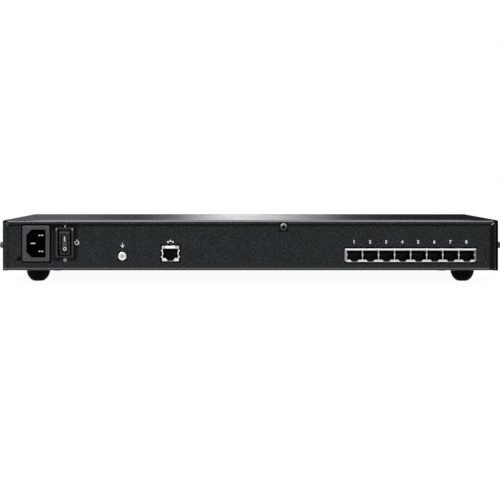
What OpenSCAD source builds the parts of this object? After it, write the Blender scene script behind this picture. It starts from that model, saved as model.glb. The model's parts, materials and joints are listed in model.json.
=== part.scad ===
// Kvm switch in a folded steel case of one rack unit, standing on rubber feet.
// X runs along the width, the rear panel faces -Y and Z is up.
// The origin is on the floor under the middle of the case. All sizes are in millimetres.

/* [Case] */
// Width of the case
case_w = 432; // [360:1:520]
// Depth from the rear lip to the face of the front panel
case_d = 162; // [135:1:260]
// Height of the case without its feet
case_h = 44; // [44:0.5:60]
// Thickness of the steel sheet
sheet_t = 1; // [0.8:0.1:1.4]
// Outside radius of the bends in the sheet
bend_r = 2; // [1.8:0.1:3]
// Width of the lip that the cover folds round the rear panel
lip_w = 4.4; // [4:0.1:5.5]
// Gap between sheet pieces that lie over each other
sheet_gap = 0.2; // [0.1:0.05:0.4]
// Number of cooling slots in each side of the cover
vent_count = 12; // [4:1:14]

/* [Feet] */
// Diameter of a foot at its top
foot_d = 20.6; // [18:0.2:30]
// Height of a foot
foot_h = 10.5; // [9:0.5:20]
// Distance of the feet from the sides of the case
foot_edge = 27.7; // [18:0.1:60]
// Distance of the feet from the front and the rear of the case
foot_inset = 23; // [18:1:40]

/* [Mains entry] */
// Distance of the mains inlet from the left side, seen from the rear
inlet_edge = 29.3; // [24:0.1:40]
// Height of the inlet's middle above the floor of the case
inlet_z = 23.6; // [22:0.1:26]
// Width of the inlet's boss
boss_w = 23.6; // [22:0.1:25]
// Height of the inlet's boss
boss_h = 31.1; // [30:0.1:33]
// How far the boss stands out of the rear panel
boss_proud = 1.5; // [0.5:0.1:4]
// Distance from the inlet to the power switch
switch_pitch = 25.1; // [25:0.1:40]
// Height of the switch's middle above the floor of the case
switch_z = 24.4; // [20:0.1:26]
// Width of the switch's frame
frame_w = 15.9; // [15:0.1:19]
// Height of the switch's frame
frame_h = 26.2; // [25:0.1:30]
// Width of the rocker
rocker_w = 8.9; // [7:0.1:9.5]
// Height of the rocker
rocker_h = 20.7; // [18:0.1:20.8]
// Angle that the rocker turns through between off and on
rocker_turn = 18; // [10:1:20]

/* [Earth screw] */
// Distance of the earth screw from the left side
earth_edge = 104.5; // [95:0.5:115]
// Height of the earth screw above the floor of the case
earth_z = 12.6; // [10:0.1:20]
// Diameter of the earth screw's head
earth_head_d = 7.4; // [6.5:0.1:9]

/* [Sockets] */
// Distance between the middles of neighbouring ports
port_pitch = 13.97; // [13.8:0.01:16]
// Width of a socket's mouth
socket_w = 12.2; // [11.8:0.1:12.4]
// Height of a socket's mouth above its latch notch
socket_h = 7.3; // [7:0.1:7.8]
// Depth of a socket
socket_depth = 12.5; // [11.5:0.1:14]
// Height of the eight-port block
block_h = 11.6; // [11.4:0.1:14]
// Distance of the block's middle from the right side of the case
block_edge = 76.5; // [70:0.1:90]
// Distance of the network socket from the left side
lan_edge = 146.3; // [140:0.1:160]
// Width of the network socket
lan_w = 15.5; // [15.2:0.1:17]
// Height of the network socket
lan_h = 13.7; // [13:0.1:15]

/* [Boards] */
// Height of the standoffs under the boards
standoff_h = 4; // [3:0.5:6]
// Thickness of the circuit boards
board_t = 1.6; // [1.2:0.2:2]

/* [Front] */
// Depth of the front panel
panel_depth = 8; // [7:0.5:10]
// Wall of the front panel
panel_wall = 2.2; // [1.8:0.1:3]
// Distance between neighbouring port buttons
button_pitch = 18; // [15:0.5:20]
// Width of a port button
button_w = 10; // [8:0.5:11]
// Height of a port button
button_h = 6; // [5:0.5:8]
// How far a port button travels
button_travel = 1; // [0.5:0.1:1.2]

/* [Hidden] */
$fn = 48;

// Colours
coat = [0.17, 0.18, 0.19];
black_plastic = [0.06, 0.06, 0.07];
grey_plastic = [0.32, 0.33, 0.34];
bright_metal = [0.82, 0.83, 0.84];
dark_metal = [0.12, 0.12, 0.13];
gold = [0.83, 0.67, 0.3];
board_green = [0.07, 0.3, 0.17];

// Planes of the case
eps = 0.01;
rear_y = -case_d/2;
front_y = case_d/2;
panel_y = rear_y + sheet_t + sheet_gap;
panel_in = panel_y + sheet_t;
cover_front_y = front_y - panel_depth;
flange_y = cover_front_y - sheet_gap;
flange_in = flange_y - sheet_t;
tray_w = case_w - 2*(sheet_t + sheet_gap);
panel_ease = bend_r/4;
panel_top = case_h - sheet_t - sheet_gap - panel_ease;
panel_w = tray_w - 2*panel_ease;
side_flange_h = case_h - 4;
front_flange_h = 10;
corner_relief = 1.5;
board_z = sheet_t + standoff_h;
board_top = board_z + board_t;

// Fasteners: diameter of shank, clearance round it, head sizes
screw_d = 2.9;
screw_slack = 0.1;
screw_head_d = 5.4;
screw_head_h = 2;
cross_w = 0.9;
cross_l = 3.2;
cross_depth = 1.3;
cross_hub_d = 2;
cross_tip_d = 0.8;

// Cover screws
side_screw_z = case_h/2;
side_screw_inset = 6;
side_head_h = 3;
tab_w = 14;
tab_drop = 9.4;
tab_x = 28.9;
tab_screw_drop = 5.9;
tab_head_d = 6.5;
mitre_slit = 0.5;
mitre_start = 1.8;
vent_pitch = 6;
vent_w = 2.6;
vent_h = 22;
vent_y = -10;
vent_margin = 5;

// Holes for rack ears near the front of each side
ear_hole_d = 4.5;
ear_pitch_y = 18;
ear_pitch_z = 22;
ear_y = cover_front_y - 22;
ear_z = case_h/2;
ear_nut_bore = 4.2;
ear_nut_d = 7.5;
ear_nut_h = 2;
ear_shank_d = 5.4;

// Feet
foot_sink_d = 6.4;
foot_sink = 4;
foot_band = 0.9;
foot_ring = 0.8;
bowl_round = 1.146;

// Mains entry
inlet_x = -case_w/2 + inlet_edge;
boss_r = 1.2;
boss_face = panel_y - boss_proud;
flange_t = 3;
inlet_rear = panel_in + 21;
recess_w = 16.8;
recess_h = 24.4;
recess_chamfer = 4.7;
recess_r = 1.4;
recess_depth = 17.5;
pin_x = 4.1;
pin_z = 7;
earth_pin_x = -2.8;
pin_w = 4;
pin_t = 2;
pin_set_back = 1.6;
tab_blade_w = 6.3;
tab_blade_t = 0.8;
tab_blade_l = 9;
inlet_screw_x = 15.2;
inlet_screw_z = 13.4;
inlet_screw_d = 2.4;
inlet_head_d = 3.8;
inlet_head_h = 1;
inlet_nut_flats = 4.4;
inlet_nut_h = 2;
inlet_lug_r = 2.6;
pin_slack = 0.1;
inlet_pin_places = [[pin_x, pin_z], [pin_x, -pin_z], [earth_pin_x, 0]];
cut_gap = 0.3;

// Power switch
switch_x = inlet_x + switch_pitch;
frame_proud = 2.2;
frame_wall = 1.85;
switch_body_w = frame_w - 1.7;
switch_body_h = frame_h - 1.4;
switch_rear = panel_in + 20;
well_w = frame_w - 2*frame_wall;
well_h = frame_h - 2*frame_wall + 0.4;
well_depth = 10.5;
frame_face = panel_y - frame_proud;
pivot_y = frame_face + 5.2;
rocker_top = 5.4;
rocker_rim = 2.6;
rocker_hub_r = 3;
trunnion_d = 2.2;
trunnion_gap = 0.3;
trunnion_l = 0.75;
dish_w = 5.7;
dish_h = 15.5;
dish_depth = 0.3;
groove_w = 1.1;
groove_depth = 1.3;
terminal_w = 4.8;
terminal_x = 3.5;
terminal_zs = [-1, 8];
terminal_in = 4;
frame_r = 0.8;
well_r = 0.6;

// Earth screw
earth_x = -case_w/2 + earth_edge;
earth_shank_d = 3.9;
earth_head_h = 2.3;
earth_nut_flats = 7;
earth_nut_h = 2.8;
ring_t = 0.8;
earth_ring_d = 8;

// Sockets
port_count = 8;
socket_face = panel_y - 1;
shield_t = 0.4;
shield_gap = 0.05;
bevel_depth = 0.7;
top_bevel = 2;
foot_bevel = 0.3;
window_w = 13.3;
socket_rear_wall = 2.5;
socket_l = socket_depth + socket_rear_wall;
face_in = socket_face + bevel_depth + shield_t;
lan_x = -case_w/2 + lan_edge;
lan_z = board_top + 1.2;
lan_mouth_z = lan_z + 3.1;
lan_strip = 2.2;
lan_steps = [[7.5, 1.2], [5.4, 2.5]];
lan_bevel = 0.6;
lan_r = 0.9;
block_x = case_w/2 - block_edge;
block_margin = 1.5;
block_bevel = 1.9;
block_w = port_count*port_pitch + 2*block_margin;
block_z = board_top + 0.95;
block_strip = 1.5;
block_sill = 2;
block_mouth_z = block_z + block_sill;
block_notch = [[7.3, 0], [4.7, block_sill + 0.05]];
block_top_gap = 1.2;
block_bottom_gap = 1;
block_finger_out = 0.35;
lip_drop = 0.75;
lip_rise = 0.8;
lip_back = 0.4;
latch_lip_w = 5.6;
block_screw_gap = 3.9;
bulge_w = 0.5;
bulge_h = 3.6;
bulge_z = 4.2;
finger_r = 0.9;
finger_out = 0.45;
finger_pitch = 5.4;
finger_l = 4;
finger_back = 0.3;
contact_count = 8;
contact_pitch = 1.02;
contact_w = 0.5;
contact_t = 0.3;
contact_front = 2.5;
contact_fold = 1.2;
contact_run = 7.5;
contact_drop = 2.5;

// Main board and what stands on it
main_x0 = lan_x - 16;
block_screw_x = block_x + block_w/2 + block_screw_gap;
main_x1 = block_screw_x + 4;
main_y0 = panel_in + 1;
main_d = 101;
board_hole_inset = 5;
standoff_d = 6;
standoff_spigot_d = 4;
cpu_x = main_x0 + 105;
cpu_y = main_y0 + 55;
cpu_w = 28;
cpu_h = 2.4;
sink_w = 40;
sink_h = 15;
sink_base = 3;
sink_fins = 9;
fin_t = 1.2;
chip_w = 8;
chip_l = 11;
chip_h = 2;
port_chip_y = main_y0 + 28;
ribbon_x = main_x0 + 100;
ribbon_y = main_y0 + 93;
ribbon_w = 25;
ribbon_t = 1;
ribbon_bend = 5;
ribbon_z = 26;
can_d = 8;
can_h = 11;
can_xs = [30, 42, 54];
can_ys = [40, 54];
board_hole_l = 40;

// Power supply, placed from the rear left corner
corner = [-case_w/2, -case_d/2, 0];
psu_at = corner + [11, 40, board_z];
psu_w = 100;
psu_d = 80;
dc_pitch = 2.5;
dc_count = 4;
psu_plug = corner + [104, 66, board_top];
main_plug = [main_x0 + 7, rear_y + 66, board_top];
mains_plug = corner + [68, 55, board_top];
mains_plug_pitch = 5;
plug_wall = 0.8;
plug_l = 13;
plug_w = 6;
plug_h = 8;
plug_gap = 0.15;
header_h = 7;
header_floor = 1;
lead_d = 2.4;
dc_lead_d = 1.6;
sleeve_l = 8;
sleeve_end = 1.5;
sleeve_wall = 0.7;
sleeve_gap = 0.1;
sleeve_start = 1;
lead_gap = 0.4;
inlet_sleeve_y = inlet_rear + sleeve_start + sleeve_l + sleeve_end - rear_y + lead_gap;
switch_sleeve_y = switch_rear + sleeve_start + sleeve_l + sleeve_end - rear_y + lead_gap;
plug_top = board_top + header_floor + plug_h + lead_gap;
live_x = inlet_edge + pin_x;
left_x = inlet_edge + switch_pitch - terminal_x;
right_x = inlet_edge + switch_pitch + terminal_x;
mid_z = switch_z + terminal_zs[0];
high_z = switch_z + terminal_zs[1];
transformer_at = [50, 52];
main_can_at = [14, 46];
main_can_d = 18;
main_can_h = 25;
out_can_xs = [76, 88];
out_can_ys = [42, 56];
out_can_d = 10;
out_can_h = 18;
in_sink_at = [22, 66];
in_sink_l = 26;
in_sink_h = 24;
out_sink_at = [82, 66];
out_sink_l = 22;
out_sink_h = 20;
fuse_at = [20, 9];
filter_can_at = [14, 24];
filter_can = [18, 8, 15];
choke_at = [40, 26];

// Front
front_board_w = 300;
front_board_y = front_y - 11;
front_board_z0 = 12;
front_board_z1 = 38;
front_boss_d = 6;
front_screw_l = 6;
panel_in_y = front_y - panel_wall;
panel_screw_z = 5.5;
panel_screw_edge = 21;
panel_r = 1.8;
tongue_l = 5;
tongue_t = 1.2;
button_z = 20;
button_x0 = 75;
button_proud = 1.6;
button_r = 1;
button_gap = 0.35;
button_flange = 1;
button_stem_d = 3.2;
stem_gap = 0.3;
stem_in = 0.8;
tact_w = 6;
tact_h = 3.5;
tact_hole = stem_in + button_travel + 2*stem_gap;
lamp_z = 30;
lamp_d = 3;
pipe_flange_d = 4.4;
pipe_proud = 0.3;
pipe_gap = 0.3;
led_w = 2;
led_h = 1.4;
led_t = 1;
power_lamp_x = -75;
video_x = 115;
video_z = 23;
video_shell_w = 16.9;
video_shell_h = 8.3;
video_corner = 2;
video_shell_t = 0.4;
video_proud = 3.6;
video_flange_w = 30.8;
video_flange_h = 12.5;
video_flange_t = 0.8;
video_flange_y = panel_in_y - 0.2;
video_body_w = 19;
video_body_h = 11.5;
video_pin_pitch = 2.29;
video_row_pitch = 1.98;
video_pin_d = 1;
video_pin_depth = 4;
jack_pitch = 25;
jack_flats = 4.8;
jack_l = 5;
jack_shank_d = 2.8;
jack_shank_l = 3;
jack_bore = 2.6;
usb_xs = [-100, -122];
usb_z = 21;
usb_w = 13.2;
usb_h = 5.9;
usb_lip_w = 14.4;
usb_lip_h = 7.1;
usb_wall = 0.35;
usb_r = 0.6;
usb_back = 3;
usb_tongue_w = 11;
usb_tongue_t = 1.9;
usb_tongue_z = 0.2;

function port_x(n) = block_x + (n - (port_count + 1)/2)*port_pitch;
function button_x(n) = button_x0 - (n - 1)*button_pitch;
lamp_xs = concat([for (n = [1 : port_count]) button_x(n)], [power_lamp_x]);

// Frames of reference and shared shapes
module on_feet() {
  translate([0, 0, foot_h]) children();
}

// A flat shape drawn in X and Z, raised towards the rear from the plane y
module facing_rear(y) {
  translate([0, y, 0]) rotate([90, 0, 0]) children();
}

// A flat shape drawn in Y and Z, raised towards +X from the plane x
module along_x(x) {
  translate([x, 0, 0]) rotate([90, 0, 90]) children();
}

module block(low, high) {
  translate(low) cube(high - low);
}

module rounded(w, h, r) {
  union() {
    square([w - 2*r, h], center = true);
    square([w, h - 2*r], center = true);
    for (x = [-1, 1], y = [-1, 1]) translate([x*(w/2 - r), y*(h/2 - r)]) circle(r);
  }
}

// Upright rectangle on the axis with its two top corners round, standing on y = -drop
module round_top(w, h, r, drop = 0) {
  union() {
    translate([-w/2, -drop]) square([w, h - r + drop]);
    translate([-w/2 + r, -drop]) square([w - 2*r, h + drop]);
    for (s = [-1, 1]) translate([s*(w/2 - r), h - r]) circle(r);
  }
}

// Upright slot with round ends
module slot(w, h) {
  union() {
    square([w, h - w], center = true);
    for (s = [-1, 1]) translate([0, s*(h - w)/2]) circle(w/2);
  }
}

// Block standing on z = 0 whose outer face, at y = d, has all its edges round: three prisms overlap
module eased_block(w, h, d, r) {
  intersection() {
    facing_rear(d) linear_extrude(d) translate([0, h/2]) rounded(w, h, r);
    along_x(-w/2) linear_extrude(w) translate([0, h/2]) rotate(-90) round_top(h, d, r);
    linear_extrude(h) round_top(w, d, r);
  }
}

// Pan head screw: its head stands on z = 0 and its shank runs down
module pan_screw(head_d, head_h, shank_d, shank_l, cross = true) {
  edge = head_h*0.45;
  difference() {
    union() {
      rotate_extrude() union() {
        square([head_d/2 - edge, head_h]);
        square([head_d/2, head_h - edge]);
        translate([head_d/2 - edge, head_h - edge]) circle(edge);
      }
      translate([0, 0, -shank_l]) cylinder(d = shank_d, h = shank_l + eps);
    }
    if (cross) translate([0, 0, head_h]) union() {
      for (a = [0, 90]) rotate(a)
        cube([cross_l*head_d/screw_head_d, cross_w, 2*cross_depth], center = true);
      translate([0, 0, -cross_depth])
        cylinder(d1 = cross_tip_d, d2 = cross_hub_d*head_d/screw_head_d, h = cross_depth);
    }
  }
}

module hex_nut(flats, h, bore) {
  difference() {
    cylinder(d = flats/cos(30), h = h, $fn = 6);
    translate([0, 0, -eps]) cylinder(d = bore, h = h + 2*eps);
  }
}

// Points of a lead bent smoothly through its route
function smooth_point(a, b, c, d, t) =
  0.5*(2*b + (c - a)*t + (2*a - 5*b + 4*c - d)*t*t + (3*b - a - 3*c + d)*t*t*t);
function smooth(route, steps) = let(last = len(route) - 1) concat(
  [for (i = [0 : last - 1], s = [0 : steps - 1]) smooth_point(
    route[max(i - 1, 0)], route[i], route[i + 1], route[min(i + 2, last)], s/steps)],
  [route[last]]);
function unit(v) = v/norm(v);
function heading(path, i) = unit(path[min(i + 1, len(path) - 1)] - path[max(i - 1, 0)]);
function carried(n, t) = unit(n - (n*t)*t);
function normals(path, n, i = 0) = i == len(path) ? []
  : let(next = carried(n, heading(path, i))) concat([next], normals(path, next, i + 1));

// Round lead swept along a route
module lead(route, d, sides = 8, steps = 4) {
  path = smooth(route, steps);
  first = heading(path, 0);
  across = normals(path, abs(first.z) > 0.9 ? [1, 0, 0] : [0, 0, 1]);
  rings = len(path);
  points = [for (i = [0 : rings - 1], k = [0 : sides - 1])
    let(n = across[i], b = cross(heading(path, i), n), a = 360*k/sides)
    path[i] + d/2*(cos(a)*n + sin(a)*b)];
  walls = [for (i = [0 : rings - 2], k = [0 : sides - 1])
    let(a = i*sides + k, b = i*sides + (k + 1)%sides)
    each [[a, a + sides, b], [b, a + sides, b + sides]]];
  polyhedron(points, concat(
    [[for (k = [0 : sides - 1]) k]], walls,
    [[for (k = [sides - 1 : -1 : 0]) (rings - 1)*sides + k]]), convexity = 6);
}

// Case
module cover_block(inset, r, over) {
  w = case_w - 2*inset;
  h = case_h - inset;
  y0 = rear_y + inset;
  y1 = cover_front_y + over;
  intersection() {
    facing_rear(y1) linear_extrude(y1 - y0) round_top(w, h, r, over);
    along_x(-w/2) linear_extrude(w) union() {
      translate([y0, -over]) square([y1 - y0, h - r + over]);
      translate([y0 + r, -over]) square([y1 - y0 - r, h + over]);
      translate([y0 + r, h - r]) circle(r);
    }
    translate([0, 0, -over]) linear_extrude(h + over) union() {
      translate([-w/2, y0 + r]) square([w, y1 - y0 - r]);
      translate([-w/2 + r, y0]) square([w - 2*r, y1 - y0]);
      for (s = [-1, 1]) translate([s*(w/2 - r), y0 + r]) circle(r);
    }
  }
}

module at_side_screws() {
  for (s = [-1, 1], y = [rear_y + side_screw_inset, cover_front_y - side_screw_inset])
    translate([s*case_w/2, y, side_screw_z]) rotate([0, s*90, 0]) children();
}

module at_ear_holes() {
  for (s = [-1, 1], y = [-1, 1], z = [-1, 1])
    translate([s*case_w/2, ear_y + y*ear_pitch_y/2, ear_z + z*ear_pitch_z/2])
      rotate([0, s*90, 0]) children();
}

module at_cover_screw() {
  translate([tab_x, rear_y, case_h - tab_screw_drop]) rotate([90, 0, 0]) children();
}

module through_hole(d, l = 8) {
  cylinder(d = d, h = l, center = true);
}

module vents() {
  run = case_w + 2;
  for (i = [0 : vent_count - 1])
    translate([0, vent_y + (i - (vent_count - 1)/2)*vent_pitch, case_h/2])
      along_x(-run/2) linear_extrude(run) slot(vent_w, vent_h);
}

module top_cover() {
  window_w = case_w - 2*lip_w;
  mitre_in = (mitre_start + lip_w)/2;
  mitre_l = (lip_w - mitre_start)*sqrt(2) + 1;
  color(coat) on_feet() difference() {
    cover_block(0, bend_r, 0);
    cover_block(sheet_t, bend_r - sheet_t, 1);
    facing_rear(rear_y + sheet_t + bend_r) linear_extrude(2*sheet_t + bend_r) difference() {
      translate([-window_w/2, -1]) square([window_w, case_h - lip_w + 1]);
      translate([tab_x, case_h - tab_drop/2]) rounded(tab_w, tab_drop, bend_r);
    }
    for (s = [-1, 1]) translate([s*(case_w/2 - mitre_in), rear_y, case_h - mitre_in])
      rotate([0, s*45, 0]) cube([mitre_slit, 2*sheet_t + bend_r, mitre_l], center = true);
    at_side_screws() through_hole(screw_d + 2*screw_slack);
    at_ear_holes() through_hole(ear_hole_d);
    at_cover_screw() through_hole(screw_d + 2*screw_slack);
    vents();
  }
}

// Rectangle standing on the axis with its two lower corners round
module upturned(w, h, r) {
  translate([0, h]) mirror([0, 1]) round_top(w, h, r);
}

// Floor strip and wall bent up from it, drawn in Y and Z with the wall's outer face on y = 0
module bent_wall(h, strip) {
  union() {
    translate([0, bend_r]) square([sheet_t, h - bend_r]);
    translate([bend_r, 0]) square([strip - bend_r, sheet_t]);
    intersection() {
      square(bend_r);
      translate([bend_r, bend_r]) difference() {
        circle(bend_r);
        circle(bend_r - sheet_t);
      }
    }
  }
}

// Mouth of a socket with its latch notch, standing on y = 0, with steps of [width, depth] below
module socket_mouth(w, h, steps, tapered) {
  half = tapered
    ? [for (s = steps) [s[0]/2, -s[1]]]
    : [for (i = [0 : len(steps) - 1], k = [1, 0])
      [steps[i][0]/2, i < k ? 0 : -steps[i - k][1]]];
  back = len(half) - 1;
  polygon(concat(
    [[-w/2, h], [-w/2, 0]], [for (p = half) [-p.x, p.y]],
    [for (i = [back : -1 : 0]) half[i]], [[w/2, 0], [w/2, h]]));
}

module rear_cut_outs() {
  facing_rear(panel_in + 1) linear_extrude(sheet_t + 2) union() {
    translate([inlet_x, inlet_z])
      rounded(boss_w + 2*cut_gap, boss_h + 2*cut_gap, boss_r + cut_gap);
    for (s = [-1, 1]) translate([inlet_x + s*inlet_screw_x, inlet_z + s*inlet_screw_z])
      circle(d = inlet_screw_d + 2*screw_slack);
    translate([switch_x, switch_z])
      square([switch_body_w + 2*cut_gap, switch_body_h + 2*cut_gap], center = true);
    translate([earth_x, earth_z]) circle(d = earth_shank_d + 2*screw_slack);
    translate([lan_x, lan_z + lan_h/2])
      square([lan_w + 2*(finger_out + cut_gap), lan_h + 2*(finger_out + cut_gap)], center = true);
    translate([block_x - block_w/2 - cut_gap, block_z - block_bottom_gap])
      square([block_w + 2*cut_gap, block_h + block_bottom_gap + block_top_gap]);
  }
}

module at_feet() {
  for (x = [-1, 1], y = [-1, 1])
    translate([x*(case_w/2 - foot_edge), y*(case_d/2 - foot_inset), 0]) children();
}

module at_board_holes() {
  xs = [main_x0 + board_hole_inset - 1, block_x - block_w/2 - 8, block_screw_x];
  for (x = xs, y = [main_y0 + board_hole_inset, main_y0 + main_d - board_hole_inset])
    translate([x, y, 0]) children();
  for (x = [-1, 1], y = [-1, 1])
    translate([psu_at.x + psu_w/2 + x*(psu_w/2 - board_hole_inset),
      psu_at.y + psu_d/2 + y*(psu_d/2 - board_hole_inset), 0]) children();
}

module at_panel_screws() {
  for (x = [-case_w/2 + panel_screw_edge, -case_w/6, case_w/6, case_w/2 - panel_screw_edge])
    translate([x, flange_in, panel_screw_z]) rotate([90, 0, 0]) children();
}

module at_front_board_holes() {
  for (x = [-1, 1], z = [front_board_z0 + board_hole_inset, front_board_z1 - 4])
    translate([x*(front_board_w/2 - board_hole_inset), front_board_y - board_t, z])
      rotate([90, 0, 0]) children();
}

module chassis_tray() {
  strip = sheet_t + corner_relief + bend_r + 2;
  wall_w = tray_w - 2*bend_r;
  y0 = panel_in + corner_relief;
  y1 = flange_in - corner_relief;
  vent_run = vent_count*vent_pitch + 2*vent_margin;
  color(coat) on_feet() difference() {
    union() {
      facing_rear(y1) linear_extrude(y1 - y0) difference() {
        upturned(tray_w, side_flange_h, bend_r);
        translate([0, sheet_t]) upturned(tray_w - 2*sheet_t, side_flange_h, bend_r - sheet_t);
      }
      along_x(-wall_w/2) linear_extrude(wall_w) translate([panel_y, 0]) bent_wall(panel_top, strip);
      block([-panel_w/2, panel_y, bend_r + 1], [panel_w/2, panel_in, panel_top]);
      along_x(-wall_w/2) linear_extrude(wall_w) translate([flange_y, 0]) mirror([1, 0])
        bent_wall(front_flange_h, strip);
    }
    rear_cut_outs();
    at_side_screws() through_hole(screw_d + 2*screw_slack);
    at_ear_holes() through_hole(ear_shank_d + 2*screw_slack);
    at_cover_screw() through_hole(screw_d + 2*screw_slack);
    at_panel_screws() through_hole(screw_d + 2*screw_slack);
    block([-case_w/2, vent_y - vent_run/2, front_flange_h], [case_w/2, vent_y + vent_run/2, case_h]);
    at_feet() through_hole(screw_d + 2*screw_slack);
    at_board_holes() through_hole(standoff_spigot_d + 2*screw_slack);
  }
}

module cover_side_screws() {
  color(dark_metal) on_feet() at_side_screws() pan_screw(screw_head_d, side_head_h, screw_d, 6);
}

module cover_rear_screw() {
  color(dark_metal) on_feet() at_cover_screw() pan_screw(tab_head_d, screw_head_h, screw_d, 5);
}

module front_panel_screws() {
  color(bright_metal) on_feet() at_panel_screws()
    pan_screw(screw_head_d, screw_head_h, screw_d, panel_depth - 1);
}

module rack_ear_nuts() {
  color(bright_metal) on_feet() at_ear_holes() translate([0, 0, -sheet_t - sheet_gap]) difference() {
    union() {
      translate([0, 0, -sheet_t]) cylinder(d = ear_shank_d, h = sheet_t);
      translate([0, 0, -sheet_t - ear_nut_h]) cylinder(d = ear_nut_d, h = ear_nut_h);
    }
    through_hole(ear_nut_bore);
  }
}

// Feet: rubber bowls with a sunk screw, their roundness limited by the ring round the screw
module rubber_feet() {
  top_r = foot_d/2;
  taper = bowl_round - sqrt(bowl_round*bowl_round - 1);
  bowl_h = min(foot_h - foot_band, (top_r - foot_sink_d/2 - foot_ring)/taper);
  bowl_r = bowl_h*bowl_round;
  color(black_plastic) at_feet() difference() {
    rotate_extrude() union() {
      translate([0, bowl_h]) square([top_r, foot_h - bowl_h]);
      intersection() {
        translate([top_r - bowl_r, bowl_h]) circle(bowl_r);
        square([top_r, bowl_h]);
      }
    }
    translate([0, 0, -1]) cylinder(d = foot_sink_d, h = foot_sink + 1);
    cylinder(d = screw_d + 2*screw_slack, h = 3*foot_h, center = true);
  }
}

module foot_screws() {
  color(bright_metal) at_feet() translate([0, 0, foot_sink]) rotate([180, 0, 0])
    pan_screw(screw_head_d, screw_head_h, screw_d, foot_h - foot_sink + sheet_t + 3);
}

// Mains inlet: boss through the panel, flange behind it with two lugs on a diagonal
module mains_inlet() {
  color(grey_plastic) on_feet() translate([inlet_x, 0, inlet_z]) difference() {
    union() {
      facing_rear(inlet_rear) linear_extrude(inlet_rear - boss_face)
        rounded(boss_w, boss_h, boss_r);
      facing_rear(panel_in + flange_t) linear_extrude(flange_t) union() {
        rounded(boss_w + 3, boss_h + 2, boss_r);
        for (s = [-1, 1]) translate([s*inlet_screw_x, s*inlet_screw_z]) union() {
          circle(inlet_lug_r);
          translate([-s*inlet_lug_r, 0]) square(2*inlet_lug_r, center = true);
        }
      }
    }
    facing_rear(boss_face + recess_depth) linear_extrude(recess_depth + 1) difference() {
      rounded(recess_w, recess_h, recess_r);
      for (s = [-1, 1]) translate([-recess_w/2, s*recess_h/2]) rotate(45)
        square(recess_chamfer*sqrt(2), center = true);
    }
    for (p = inlet_pin_places) translate([p.x, 0, p.y])
      block([-pin_w/2 - pin_slack, boss_face, -pin_t/2 - pin_slack],
        [pin_w/2 + pin_slack, inlet_rear + 1, pin_t/2 + pin_slack]);
    for (s = [-1, 1]) translate([s*inlet_screw_x, panel_in, s*inlet_screw_z]) rotate([90, 0, 0])
      through_hole(inlet_screw_d + 2*screw_slack, 3*flange_t);
  }
}

module inlet_pins() {
  nose = 0.6;
  tip = boss_face + pin_set_back;
  color(bright_metal) on_feet() for (p = inlet_pin_places)
    translate([inlet_x + p.x, 0, inlet_z + p.y]) union() {
    along_x(-pin_w/2) linear_extrude(pin_w) polygon([
      [tip, -pin_t/2 + nose], [tip + 2*nose, -pin_t/2], [inlet_rear, -pin_t/2],
      [inlet_rear, pin_t/2], [tip + 2*nose, pin_t/2], [tip, pin_t/2 - nose]]);
    block([-tab_blade_w/2, inlet_rear, -tab_blade_t/2],
      [tab_blade_w/2, inlet_rear + tab_blade_l, tab_blade_t/2]);
  }
}

module at_inlet_screws() {
  for (s = [-1, 1]) translate([inlet_x + s*inlet_screw_x, panel_y, inlet_z + s*inlet_screw_z])
    rotate([90, 0, 0]) children();
}

module inlet_screws() {
  color(black_plastic) on_feet() at_inlet_screws()
    pan_screw(inlet_head_d, inlet_head_h, inlet_screw_d, sheet_t + flange_t + inlet_nut_h + 1);
}

module inlet_nuts() {
  color(bright_metal) on_feet() at_inlet_screws() translate([0, 0, -sheet_t - flange_t - inlet_nut_h])
    hex_nut(inlet_nut_flats, inlet_nut_h, inlet_screw_d + 2*screw_slack);
}

// Power switch: snapped into the panel, its rocker on two trunnions inside a guard frame
module switch_housing() {
  color(black_plastic) on_feet() translate([switch_x, 0, switch_z]) difference() {
    union() {
      translate([0, panel_y, -frame_h/2]) rotate(180) eased_block(frame_w, frame_h, frame_proud, frame_r);
      block([-switch_body_w/2, panel_y - eps, -switch_body_h/2],
        [switch_body_w/2, switch_rear, switch_body_h/2]);
    }
    facing_rear(frame_face + well_depth) linear_extrude(well_depth + 1) rounded(well_w, well_h, well_r);
    translate([0, pivot_y, 0]) rotate([0, 90, 0])
      cylinder(d = trunnion_d + 2*trunnion_gap, h = switch_body_w + 2, center = true);
    for (x = [-1, 1], z = terminal_zs) translate([x*terminal_x, 0, z])
      block([-terminal_w/2 - pin_slack, switch_rear - terminal_in, -tab_blade_t/2 - pin_slack],
        [terminal_w/2 + pin_slack, switch_rear + 1, tab_blade_t/2 + pin_slack]);
  }
}

// The rocker lies at off: its upper end stands out and its lower end is pressed in
module power_rocker() {
  color(black_plastic) on_feet() translate([switch_x, pivot_y, switch_z])
    rotate([rocker_turn/2, 0, 0]) difference() {
    union() {
      along_x(-rocker_w/2) linear_extrude(rocker_w) union() {
        circle(rocker_hub_r);
        polygon([
          [-rocker_top, -rocker_h/2], [-rocker_top + rocker_rim, -rocker_h/2], [0, -rocker_hub_r],
          [0, rocker_hub_r], [-rocker_top + rocker_rim, rocker_h/2], [-rocker_top, rocker_h/2]]);
      }
      rotate([0, 90, 0]) cylinder(d = trunnion_d, h = well_w + 2*trunnion_l, center = true);
    }
    facing_rear(-rocker_top + dish_depth) linear_extrude(dish_depth + 1) slot(dish_w, dish_h);
    facing_rear(-rocker_top + groove_depth) linear_extrude(groove_depth + 1) difference() {
      slot(dish_w, dish_h);
      slot(dish_w - 2*groove_w, dish_h - 2*groove_w);
    }
  }
}

module switch_terminals() {
  color(bright_metal) on_feet() for (x = [-1, 1], z = terminal_zs)
    translate([switch_x + x*terminal_x, 0, switch_z + z])
      block([-terminal_w/2, switch_rear - terminal_in, -tab_blade_t/2],
        [terminal_w/2, switch_rear + tab_blade_l, tab_blade_t/2]);
}

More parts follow.
